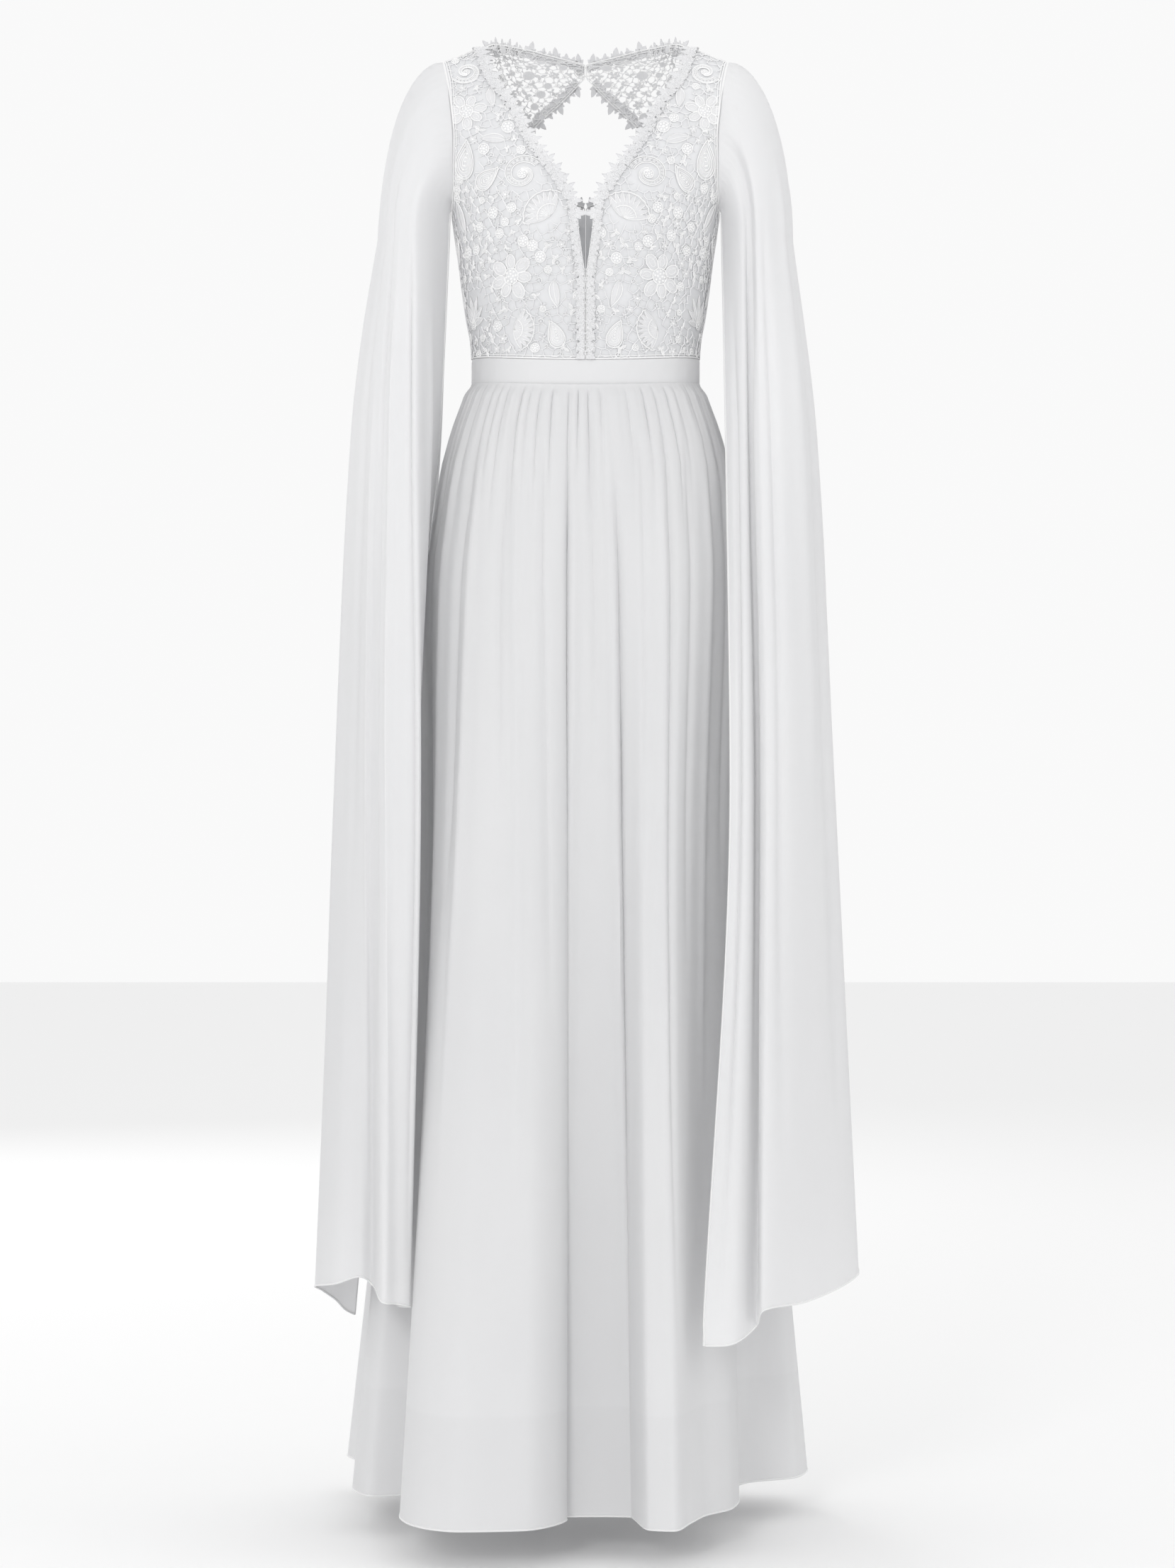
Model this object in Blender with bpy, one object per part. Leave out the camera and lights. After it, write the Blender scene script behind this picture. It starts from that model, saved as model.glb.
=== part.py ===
"""Evening dress, floor length, filled out with no wearer.

A lace bodice with a V neck and a keyhole back, a plain waistband, a gathered chiffon skirt over a
shorter lining, and two long open cape sleeves. Sizes are in metres. The front faces -Y, the wearer's
left is +X, and the origin lies midway between the shoulder tops.
"""

import math
from collections import namedtuple

import bmesh
import bpy
from mathutils import Vector

# Cloth walls and the gaps between pieces
WALL = 0.0010
BAND_WALL = 0.0020
SEAM = 0.0003
LACE_LIFT = WALL + SEAM
TRIM_LIFT = LACE_LIFT + WALL + 0.0010
COLLAR_LIFT = TRIM_LIFT + 0.0006
TRIM_WIDTH = 0.0100

# Shoulders and neck
NECK_POINT = 0.108
SHOULDER_POINT = 0.147
SHOULDER_DROP = 0.0155
SHOULDER_SLOPE = SHOULDER_DROP / (SHOULDER_POINT - NECK_POINT)
NAPE_HEIGHT = -0.006
KEYHOLE_BOTTOM = -0.1510
LINING_TOP = -0.1590

# Waist and hems
UNDERARM = -0.176
BAND_TOP_SIDE = -0.3237
BAND_BOTTOM_SIDE = -0.3495
FRONT_DIP = 0.0085
HEM = -1.505
LINING_HEM = -1.392

# Bust cups shaped by the cut
CUP_RISE = 0.055
CUP_ANGLE = 36.0
CUP_SPREAD = 22.0
CUP_HEIGHT = -0.195
CUP_TALL = 0.050

# Waist gathers of the skirt
GATHER_DEPTH = 0.0038
GATHER_FULL = 0.014
GATHER_END = 0.190
FOLD_GROWTH = 0.85

# Gaps of the lace
GAP_RADIUS = 0.0068
GAP_PITCH = 0.0310
GAP_EDGE = 0.0135
GAP_CORNERS = 5

TorsoRow = namedtuple("TorsoRow", "height half_width front back nape")
TORSO = (
    TorsoRow(0.012, 0.2220, 0.0002, 0.0002, 0.0580),
    TorsoRow(0.000, 0.2150, 0.0002, 0.0002, 0.0615),
    TorsoRow(-0.006, 0.2125, 0.0170, 0.0190, 0.0635),
    TorsoRow(-0.020, 0.2040, 0.0340, 0.0380, 0.0680),
    TorsoRow(-0.045, 0.1870, 0.0550, 0.0600, 0.0745),
    TorsoRow(-0.080, 0.1720, 0.0780, 0.0780, 0.0835),
    TorsoRow(-0.120, 0.1560, 0.0970, 0.0900, 0.0905),
    TorsoRow(-0.150, 0.1455, 0.1070, 0.0940, 0.0940),
    TorsoRow(-0.176, 0.1370, 0.1120, 0.0955, 0.0955),
    TorsoRow(-0.200, 0.1335, 0.1140, 0.0950, 0.0950),
    TorsoRow(-0.223, 0.1300, 0.1120, 0.0930, 0.0930),
    TorsoRow(-0.252, 0.1264, 0.1060, 0.0890, 0.0890),
    TorsoRow(-0.282, 0.1220, 0.0985, 0.0850, 0.0850),
    TorsoRow(-0.305, 0.1178, 0.0925, 0.0820, 0.0820),
    TorsoRow(-0.324, 0.1165, 0.0895, 0.0800, 0.0800),
    TorsoRow(-0.365, 0.1165, 0.0895, 0.0800, 0.0800),
)

EdgeRow = namedtuple("EdgeRow", "height reach")
NECKLINE = (
    EdgeRow(0.000, 0.1080),
    EdgeRow(-0.035, 0.0945),
    EdgeRow(-0.057, 0.0800),
    EdgeRow(-0.080, 0.0655),
    EdgeRow(-0.106, 0.0533),
    EdgeRow(-0.129, 0.0378),
    EdgeRow(-0.144, 0.0265),
    EdgeRow(-0.160, 0.0180),
    EdgeRow(-0.173, 0.0100),
    EdgeRow(-0.208, 0.0058),
    EdgeRow(-0.247, SEAM / 2),
)
KEYHOLE = (
    EdgeRow(-0.020, SEAM / 2),
    EdgeRow(-0.045, 0.0250),
    EdgeRow(-0.071, 0.0530),
    EdgeRow(-0.090, 0.0655),
    EdgeRow(-0.104, 0.0665),
    EdgeRow(-0.120, 0.0560),
    EdgeRow(-0.134, 0.0370),
    EdgeRow(-0.144, 0.0180),
    EdgeRow(KEYHOLE_BOTTOM, SEAM / 2),
)
ARMHOLE = (
    EdgeRow(-0.0155, SHOULDER_POINT),
    EdgeRow(-0.032, 0.1440),
    EdgeRow(-0.064, 0.1385),
    EdgeRow(-0.104, 0.1345),
    EdgeRow(-0.140, 0.1342),
    EdgeRow(-0.165, 0.1360),
    EdgeRow(UNDERARM, 0.1370),
)
CollarRow = namedtuple("CollarRow", "reach height")
COLLAR = (
    CollarRow(0.000, NAPE_HEIGHT),
    CollarRow(0.035, 0.003),
    CollarRow(0.070, 0.010),
    CollarRow(0.092, 0.008),
    CollarRow(NECK_POINT, 0.000),
)

# Heights of the panels' rows, at the inner edge
FRONT_ROWS = (
    0.000, -0.012, -0.035, -0.057, -0.080, -0.106, -0.129, -0.144, -0.160, -0.173, -0.208, -0.247, -0.290,
)
BACK_ROWS = (
    NAPE_HEIGHT, -0.016, -0.022, -0.045, -0.071, -0.090, -0.104, -0.120, -0.134, -0.144, KEYHOLE_BOTTOM,
    LINING_TOP, -0.1714, -0.210, -0.250, -0.290,
)

# The skirt's round base, before its folds
SkirtRow = namedtuple("SkirtRow", "height half_width front back")
SKIRT = (
    SkirtRow(-0.340, 0.1165, 0.0895, 0.0800),
    SkirtRow(-0.350, 0.1170, 0.0900, 0.0803),
    SkirtRow(-0.362, 0.1205, 0.0930, 0.0840),
    SkirtRow(-0.399, 0.1345, 0.1050, 0.0970),
    SkirtRow(-0.434, 0.1455, 0.1140, 0.1080),
    SkirtRow(-0.475, 0.1540, 0.1200, 0.1160),
    SkirtRow(-0.550, 0.1660, 0.1290, 0.1300),
    SkirtRow(-0.625, 0.1700, 0.1340, 0.1400),
    SkirtRow(-0.800, 0.1760, 0.1420, 0.1580),
    SkirtRow(-1.000, 0.1880, 0.1520, 0.1800),
    SkirtRow(-1.200, 0.2030, 0.1600, 0.2030),
    SkirtRow(-1.350, 0.2150, 0.1660, 0.2200),
    SkirtRow(HEM, 0.2280, 0.1720, 0.2380),
)

# Where the cloth that hangs from each angle of the waist reaches the hem, and where its fold starts
HemRow = namedtuple("HemRow", "angle across depth start")
HEM_FOLDS = (
    HemRow(-180, 0.000, 0.262, -0.40),
    HemRow(-168, -0.045, 0.236, -0.42),
    HemRow(-156, -0.095, 0.268, -0.50),
    HemRow(-144, -0.145, 0.238, -0.42),
    HemRow(-132, -0.195, 0.272, -0.50),
    HemRow(-121, -0.250, 0.284, -0.45),
    HemRow(-113, -0.261, 0.262, -0.50),
    HemRow(-104, -0.236, 0.185, -0.50),
    HemRow(-97, -0.236, 0.110, -0.50),
    HemRow(-92, -0.244, 0.055, -0.50),
    HemRow(-86, -0.222, 0.002, -0.60),
    HemRow(-79, -0.184, 0.010, -0.60),
    HemRow(-74, -0.178, -0.030, -0.60),
    HemRow(-66, -0.1865, -0.110, -0.50),
    HemRow(-54, -0.168, -0.175, -0.45),
    HemRow(-40, -0.125, -0.203, -0.40),
    HemRow(-24, -0.062, -0.196, -0.40),
    HemRow(-14, -0.029, -0.162, -0.38),
    HemRow(-9.5, -0.0205, -0.136, -0.36),
    HemRow(-6, -0.0235, -0.119, -0.36),
    HemRow(2, 0.010, -0.117, -0.38),
    HemRow(12, 0.047, -0.120, -0.45),
    HemRow(16, 0.0515, -0.138, -0.45),
    HemRow(25, 0.064, -0.193, -0.45),
    HemRow(35, 0.087, -0.199, -0.45),
    HemRow(46, 0.104, -0.155, -0.42),
    HemRow(56, 0.119, -0.115, -0.42),
    HemRow(70, 0.149, -0.070, -0.50),
    HemRow(80, 0.1575, -0.012, -0.60),
    HemRow(86, 0.151, 0.032, -0.70),
    HemRow(93, 0.170, 0.086, -0.70),
    HemRow(103, 0.226, 0.122, -0.50),
    HemRow(112, 0.238, 0.172, -0.45),
    HemRow(126, 0.195, 0.238, -0.45),
    HemRow(137, 0.150, 0.222, -0.42),
    HemRow(148, 0.118, 0.262, -0.50),
    HemRow(160, 0.068, 0.234, -0.42),
    HemRow(180, 0.000, 0.262, -0.40),
)

# Valleys between the waist gathers, as angles round the waist
FRONT_GATHERS = (
    -78, -68, -58.5, -49.5, -44.3, -39.6, -30.5, -26.4, -21.4, -15.4, -7.8, -3.2, 1.1, 6.8, 19.1, 27.6,
    34.0, 41, 47.4, 58, 68, 78,
)
BACK_GATHERS = 9
SKIRT_STEPS = (0.0, 0.014, 0.045, 0.090, 0.150, 0.230, 0.340, 0.480, 0.640, 0.820, 1.000, 1.155)

LiningRow = namedtuple("LiningRow", "height centre half_width front back")
SKIRT_LINING = (
    LiningRow(-0.340, 0.0, 0.1165, 0.0895, 0.0800),
    LiningRow(-0.352, 0.0, 0.1168, 0.0897, 0.0802),
    LiningRow(-0.399, 0.0, 0.1280, 0.0990, 0.0910),
    LiningRow(-0.450, 0.0, 0.1390, 0.1070, 0.1030),
    LiningRow(-0.550, -0.002, 0.1500, 0.1110, 0.1170),
    LiningRow(-0.750, -0.006, 0.1490, 0.1110, 0.1330),
    LiningRow(-1.000, -0.010, 0.1500, 0.1100, 0.1500),
    LiningRow(LINING_HEM, -0.0135, 0.1530, 0.1080, 0.1700),
)
LINING_STEPS = (0.0, 0.045, 0.100, 0.200, 0.400, 0.650, 1.040)

# Each row is one line of the sleeve's cloth, from its free front edge round to its free back edge.
# seam is the place on the armhole, and the rest say how far out and how deep the line hangs.
ARM_LEVEL = -0.200
WAIST_LEVEL = -0.400
THIGH_LEVEL = -0.750
SleeveRow = namedtuple("SleeveRow", "seam arm arm_y waist waist_y thigh thigh_y hem hem_y hem_height")
LEFT_SLEEVE = (
    SleeveRow(0.00, 0.1410, -0.025, 0.1435, -0.066, 0.1465, -0.122, 0.1170, -0.163, -1.3260),
    SleeveRow(0.10, 0.1580, -0.056, 0.1600, -0.088, 0.1640, -0.126, 0.1480, -0.160, -1.3240),
    SleeveRow(0.20, 0.1700, -0.060, 0.1740, -0.086, 0.1800, -0.108, 0.1720, -0.132, -1.3100),
    SleeveRow(0.26, 0.1750, -0.073, 0.1775, -0.104, 0.1830, -0.132, 0.1787, -0.154, -1.2915),
    SleeveRow(0.36, 0.1930, -0.060, 0.2050, -0.092, 0.2140, -0.114, 0.2220, -0.114, -1.2880),
    SleeveRow(0.44, 0.2080, -0.032, 0.2300, -0.052, 0.2440, -0.064, 0.2620, -0.060, -1.2790),
    SleeveRow(0.50, 0.2140, -0.004, 0.2395, -0.008, 0.2575, -0.010, 0.2830, -0.008, -1.2710),
    SleeveRow(0.58, 0.2090, 0.026, 0.2330, 0.034, 0.2520, 0.040, 0.2770, 0.052, -1.2640),
    SleeveRow(0.68, 0.1960, 0.050, 0.2140, 0.072, 0.2360, 0.088, 0.2620, 0.112, -1.2640),
    SleeveRow(0.82, 0.1740, 0.064, 0.1880, 0.098, 0.2140, 0.122, 0.2480, 0.160, -1.2720),
    SleeveRow(1.00, 0.1460, 0.022, 0.1530, 0.085, 0.1860, 0.140, 0.2260, 0.192, -1.2820),
)
RIGHT_SLEEVE = (
    SleeveRow(0.00, 0.1410, -0.025, 0.1510, -0.022, 0.1870, -0.030, 0.1930, -0.052, -1.3000),
    SleeveRow(0.12, 0.1720, -0.066, 0.1700, -0.098, 0.1665, -0.120, 0.1775, -0.103, -1.2940),
    SleeveRow(0.20, 0.1860, -0.064, 0.1900, -0.098, 0.1900, -0.122, 0.1920, -0.113, -1.2900),
    SleeveRow(0.27, 0.1950, -0.058, 0.2040, -0.090, 0.2080, -0.114, 0.2065, -0.118, -1.2870),
    SleeveRow(0.33, 0.2000, -0.050, 0.2120, -0.078, 0.2160, -0.092, 0.2165, -0.062, -1.2790),
    SleeveRow(0.39, 0.2050, -0.042, 0.2220, -0.064, 0.2290, -0.080, 0.2310, -0.066, -1.2680),
    SleeveRow(0.44, 0.2100, -0.025, 0.2330, -0.040, 0.2440, -0.052, 0.2560, -0.058, -1.2760),
    SleeveRow(0.50, 0.2140, -0.004, 0.2395, -0.006, 0.2575, -0.008, 0.2800, -0.010, -1.2840),
    SleeveRow(0.58, 0.2090, 0.026, 0.2330, 0.034, 0.2520, 0.040, 0.2770, 0.050, -1.2960),
    SleeveRow(0.68, 0.1960, 0.050, 0.2140, 0.072, 0.2380, 0.090, 0.2660, 0.100, -1.3120),
    SleeveRow(0.82, 0.1740, 0.064, 0.1880, 0.098, 0.2180, 0.124, 0.2590, 0.146, -1.3280),
    SleeveRow(1.00, 0.1460, 0.022, 0.1540, 0.085, 0.1960, 0.142, 0.2500, 0.178, -1.3380),
)
CAP_STEPS = 4
FALL_STEPS = (0.06, 0.16, 0.32, 0.52, 0.76, 1.0)
SLEEVE_BOTTOM = -0.165
ARMHOLE_GAP = 0.0017
# Parts across a bodice panel at which its grid has columns, past the trim's own
FRONT_COLUMNS = (0.40, 0.55, 0.70, 0.85, 1.0)
BACK_COLUMNS = (0.27, 0.42, 0.51, 0.56, 0.60, 0.80, 1.0)
# The part of a back panel's top that is neck edge, and the grid cells along it
NECK_PART = 0.60
COLLAR_CELLS = 6
# How far down the front edge the sprigs go, and the depth of the keyhole's first sprig row
SLIT_LENGTH = 0.255
KEYHOLE_FIRST_ROW = 2
# Cells round the half waistband and the half lining, and how far the lining sits in from the seam
BAND_CELLS = 18
LINING_CELLS = 12
LINING_SET_IN = -0.0004
# How far the cutters of the lace's gaps reach below and above it, and where their first row starts
CUTTER_BELOW = 0.0035
CUTTER_ABOVE = 0.0045
FIRST_GAP_ROW = 0.006
# The nape closure's place: how far aside of the centre and below the nape, and where the loop's ends are sewn
CLOSURE_ASIDE = 0.0060
CLOSURE_DROP = 0.006
LOOP_ENDS = ((0.0075, 0.0036), (0.0075, -0.0036))
# Where a sleeve's front and back halves meet, as a place on the seam, and half of the gap between them
SLEEVE_MIDDLE = 0.50
MIDDLE_GAP = 0.0004

# Motifs of the lace, each a solid place with no gaps: part of the way across and down, and its radius
Motif = namedtuple("Motif", "across down radius")
FRONT_MOTIFS = (
    Motif(0.55, 0.10, 0.020),
    Motif(0.50, 0.24, 0.017),
    Motif(0.78, 0.36, 0.021),
    Motif(0.28, 0.40, 0.019),
    Motif(0.62, 0.54, 0.024),
    Motif(0.24, 0.62, 0.021),
    Motif(0.82, 0.72, 0.022),
    Motif(0.45, 0.80, 0.022),
)
BACK_MOTIFS = (
    Motif(0.45, 0.12, 0.018),
    Motif(0.72, 0.28, 0.020),
    Motif(0.60, 0.50, 0.024),
    Motif(0.22, 0.64, 0.022),
    Motif(0.78, 0.72, 0.022),
    Motif(0.40, 0.86, 0.020),
)

# Sprigs along the edges: place along one repeat, and how far the points reach past the edge
SPRIG_PITCH = 0.027
SprigRow = namedtuple("SprigRow", "along reach")
SPRIG = (
    SprigRow(0.00, 0.0015),
    SprigRow(0.24, 0.0085),
    SprigRow(0.44, 0.0030),
    SprigRow(0.60, 0.0090),
    SprigRow(0.82, 0.0015),
)

# Nape button and loop
BUTTON_RADIUS = 0.0045
BUTTON_HEIGHT = 0.0032
LOOP_RADIUS = 0.0060
LOOP_CORD = 0.0006

FRONT, BACK = -1, 1
WHITE_LACE = ("guipure lace", (0.91, 0.90, 0.89), 0.70)
WHITE_LINING = ("plain lining", (0.84, 0.83, 0.82), 0.60)
WHITE_BAND = ("waistband chiffon", (0.86, 0.85, 0.84), 0.55)
WHITE_CHIFFON = ("chiffon", (0.87, 0.86, 0.85), 0.65)
WHITE_BUTTON = ("covered button", (0.88, 0.87, 0.86), 0.50)


def smooth_through(pairs, rounded=False):
    """A curve through (place, value) pairs. It turns only at them, or swings past them where rounded."""
    pairs = sorted(pairs)
    places = [pair[0] for pair in pairs]
    values = [pair[1] for pair in pairs]
    rises = [(values[i + 1] - values[i]) / (places[i + 1] - places[i]) for i in range(len(pairs) - 1)]
    slopes = [rises[0]]
    for i, (before, after) in enumerate(zip(rises, rises[1:])):
        if rounded:
            slopes.append((values[i + 2] - values[i]) / (places[i + 2] - places[i]))
        else:
            slopes.append(0.0 if before * after <= 0.0 else 2.0 * before * after / (before + after))
    slopes.append(rises[-1])

    def value(place):
        place = min(max(place, places[0]), places[-1])
        i = 0
        while i < len(rises) - 1 and place > places[i + 1]:
            i += 1
        step = places[i + 1] - places[i]
        t = (place - places[i]) / step
        return (
            values[i] * (1.0 + 2.0 * t) * (1.0 - t) ** 2
            + values[i + 1] * t * t * (3.0 - 2.0 * t)
            + step * (slopes[i] * t * (1.0 - t) ** 2 + slopes[i + 1] * t * t * (t - 1.0))
        )

    return value


def column(rows, along, name):
    return smooth_through([(getattr(row, along), getattr(row, name)) for row in rows])


def round_column(rows, along, name):
    """As column, for a table that goes once round in degrees."""
    pairs = [(getattr(row, along), getattr(row, name)) for row in rows[:-1]]
    turned = [(place + turn, value) for turn in (-360, 0, 360) for place, value in pairs]
    return smooth_through(turned)


def eased(low, high, place):
    t = min(max((place - low) / (high - low), 0.0), 1.0)
    return t * t * (3.0 - 2.0 * t)


def mix(a, b, t):
    return a + (b - a) * t


torso_width = column(TORSO, "height", "half_width")
torso_front = column(TORSO, "height", "front")
torso_back = column(TORSO, "height", "back")
torso_nape = column(TORSO, "height", "nape")
neckline_reach = column(NECKLINE, "height", "reach")
keyhole_reach = column(KEYHOLE, "height", "reach")
armhole_reach = column(ARMHOLE, "height", "reach")
collar_height = column(COLLAR, "reach", "height")
skirt_width = column(SKIRT, "height", "half_width")
skirt_front_depth = column(SKIRT, "height", "front")
skirt_back_depth = column(SKIRT, "height", "back")
hem_across = round_column(HEM_FOLDS, "angle", "across")
hem_depth = round_column(HEM_FOLDS, "angle", "depth")
hem_start = round_column(HEM_FOLDS, "angle", "start")
lining_centre = column(SKIRT_LINING, "height", "centre")
lining_width = column(SKIRT_LINING, "height", "half_width")
lining_front_depth = column(SKIRT_LINING, "height", "front")
lining_back_depth = column(SKIRT_LINING, "height", "back")


def front_dip(angle):
    """How much lower the waist seam lies at this angle, 0 being the centre front."""
    return FRONT_DIP * max(0.0, math.cos(math.radians(angle))) ** 2


def below_shoulder(reach, height):
    """Height measured from the sloping shoulder seam."""
    near_top = eased(-0.14, -0.05, height)
    return height + SHOULDER_SLOPE * max(0.0, reach - NECK_POINT) * near_top


def torso_depth(side, reach, low):
    if side == FRONT:
        return torso_front(low)
    return mix(torso_nape(low), torso_back(low), eased(0.060, NECK_POINT, reach))


def torso_point(side, angle, height):
    """A point of the bodice on the +X half; angle runs from the centre, 0, to the side seam, 90."""
    turn = math.radians(angle)
    reach = torso_width(height) * math.sin(turn)
    low = below_shoulder(reach, height)
    reach = torso_width(low) * math.sin(turn)
    depth = torso_depth(side, reach, low) * math.cos(turn)
    if side == FRONT:
        away = ((angle - CUP_ANGLE) / CUP_SPREAD) ** 2 + ((height - CUP_HEIGHT) / CUP_TALL) ** 2
        depth *= 1.0 + CUP_RISE * math.exp(-away)
    return Vector((reach, side * depth, height))


def angle_at(reach, height):
    low = below_shoulder(reach, height)
    return math.degrees(math.asin(min(reach / torso_width(low), 1.0)))


def side_seam_angle(side, height):
    return 90.0 - math.degrees(0.5 * SEAM / torso_depth(side, 0.13, height))


def armhole_angle(side, height):
    """Angle of the armhole's edge, or of the side seam below it."""
    if height <= UNDERARM:
        return side_seam_angle(side, height)
    return min(angle_at(armhole_reach(height), height), side_seam_angle(side, height))


def panel_place(side, across, down):
    """Angle and height at a part across and down a bodice panel, blended from its four edges."""
    bottom_inner = angle_at(0.5 * SEAM, BAND_TOP_SIDE)
    bottom_outer = side_seam_angle(side, BAND_TOP_SIDE)
    if side == FRONT:
        inner_top = 0.0
        inner_bottom = BAND_TOP_SIDE - front_dip(0.0)
        inner_height = mix(inner_top, inner_bottom, down)
        inner_reach = max(neckline_reach(inner_height), 0.5 * SEAM)
        top_reach = mix(NECK_POINT, SHOULDER_POINT, across)
        top_height = -SHOULDER_SLOPE * (top_reach - NECK_POINT)
    else:
        inner_top = NAPE_HEIGHT
        inner_bottom = BAND_TOP_SIDE
        inner_height = mix(inner_top, inner_bottom, down)
        inner_reach = max(keyhole_reach(inner_height), 0.5 * SEAM)
        if across <= NECK_PART:
            top_reach = mix(0.5 * SEAM, NECK_POINT, across / NECK_PART)
            top_height = collar_height(top_reach)
        else:
            top_reach = mix(NECK_POINT, SHOULDER_POINT, (across - NECK_PART) / (1.0 - NECK_PART))
            top_height = -SHOULDER_SLOPE * (top_reach - NECK_POINT)
    outer_height = mix(-SHOULDER_DROP, BAND_TOP_SIDE, down)
    inner_angle = angle_at(inner_reach, inner_height)
    outer_angle = armhole_angle(side, outer_height)
    top_angle = angle_at(top_reach, top_height)
    top_inner = angle_at(NECK_POINT if side == FRONT else 0.5 * SEAM, inner_top)
    top_outer = angle_at(SHOULDER_POINT, -SHOULDER_DROP)
    bottom_angle = mix(bottom_inner, bottom_outer, across)
    bottom_height = BAND_TOP_SIDE - (front_dip(bottom_angle) if side == FRONT else 0.0)
    angle = (
        mix(top_angle, bottom_angle, down)
        + (1.0 - across) * (inner_angle - mix(top_inner, bottom_inner, down))
        + across * (outer_angle - mix(top_outer, bottom_outer, down))
    )
    height = (
        mix(top_height, bottom_height, down)
        + (1.0 - across) * (inner_height - mix(inner_top, inner_bottom, down))
        + across * (outer_height - mix(-SHOULDER_DROP, BAND_TOP_SIDE, down))
    )
    return angle, height


def panel_point(side, across, down):
    return torso_point(side, *panel_place(side, across, down))


def facing(surface, u, v, step=0.002):
    """The surface's normal, from its slopes along u and v."""
    along_u = surface(min(u + step, 1.0), v) - surface(max(u - step, 0.0), v)
    along_v = surface(u, min(v + step, 1.0)) - surface(u, max(v - step, 0.0))
    return along_v.cross(along_u).normalized()


class Cloth:
    """A grid of points on a surface, with the way each faces, from which walls are made."""

    def __init__(self, points, normals):
        self.points = points
        self.normals = normals

    def lifted(self, lift):
        return [
            [point + normal * lift for point, normal in zip(line, ways)]
            for line, ways in zip(self.points, self.normals)
        ]

    def mirrored(self):
        def flip(grid):
            return [[Vector((-p.x, p.y, p.z)) for p in line] for line in grid]

        return Cloth(flip(self.points), flip(self.normals))

    def part(self, first_row):
        return Cloth(self.points[first_row:], self.normals[first_row:])


def new_material(finish):
    label, colour, roughness = finish
    material = bpy.data.materials.new(label)
    material.use_nodes = True
    shader = material.node_tree.nodes["Principled BSDF"]
    shader.inputs["Base Color"].default_value = (*colour, 1.0)
    shader.inputs["Roughness"].default_value = roughness
    shader.inputs["Metallic"].default_value = 0.0
    return material


def add_object(name, mesh_maker, finish):
    """A mesh object from a closed bmesh, with its faces outward and its round parts smooth."""
    bmesh.ops.recalc_face_normals(mesh_maker, faces=mesh_maker.faces)
    mesh = bpy.data.meshes.new(name)
    mesh_maker.to_mesh(mesh)
    mesh_maker.free()
    mesh.shade_smooth()
    mesh.set_sharp_from_angle(angle=math.radians(40.0))
    mesh.materials.append(new_material(finish))
    thing = bpy.data.objects.new(name, mesh)
    bpy.context.scene.collection.objects.link(thing)
    return thing


def add_wall(name, cloth, lift, thickness, finish):
    """A closed wall of cloth between two lifts over the same points."""
    maker = bmesh.new()
    layers = []
    for height in (lift, lift + thickness):
        layers.append([[maker.verts.new(point) for point in line] for line in cloth.lifted(height)])
    rows = len(cloth.points)
    columns = len(cloth.points[0])
    for layer in layers:
        for i in range(rows - 1):
            for j in range(columns - 1):
                maker.faces.new((layer[i][j], layer[i + 1][j], layer[i + 1][j + 1]))
                maker.faces.new((layer[i][j], layer[i + 1][j + 1], layer[i][j + 1]))
    rim = [(0, j) for j in range(columns)] + [(i, columns - 1) for i in range(1, rows)]
    rim += [(rows - 1, j) for j in range(columns - 2, -1, -1)] + [(i, 0) for i in range(rows - 2, 0, -1)]
    inner, outer = layers
    for (i, j), (k, m) in zip(rim, rim[1:] + rim[:1]):
        maker.faces.new((inner[i][j], inner[k][m], outer[k][m], outer[i][j]))
    return add_object(name, maker, finish)


def row_width(side, down, samples=8):
    points = [panel_point(side, k / samples, down) for k in range(samples + 1)]
    return sum((after - before).length for before, after in zip(points, points[1:]))


def panel_cloth(side, heights, columns):
    """The grid of one bodice panel. Its first column is as wide as the trim."""
    top = heights[0]
    bottom = BAND_TOP_SIDE - (FRONT_DIP if side == FRONT else 0.0)
    downs = [(top - height) / (top - bottom) for height in heights] + [1.0]

    def surface(u, v):
        return panel_point(side, u, v)

    points = []
    normals = []
    for down in downs:
        trim_part = TRIM_WIDTH / row_width(side, down)
        line = [0.0, trim_part] + [part for part in columns if part > trim_part]
        line_points = [panel_point(side, part, down) for part in line]
        ways = [facing(surface, part, down) for part in line]
        if side == BACK:
            ways = [-way for way in ways]
        points.append(line_points)
        normals.append(ways)
    return Cloth(points, normals)


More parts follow.
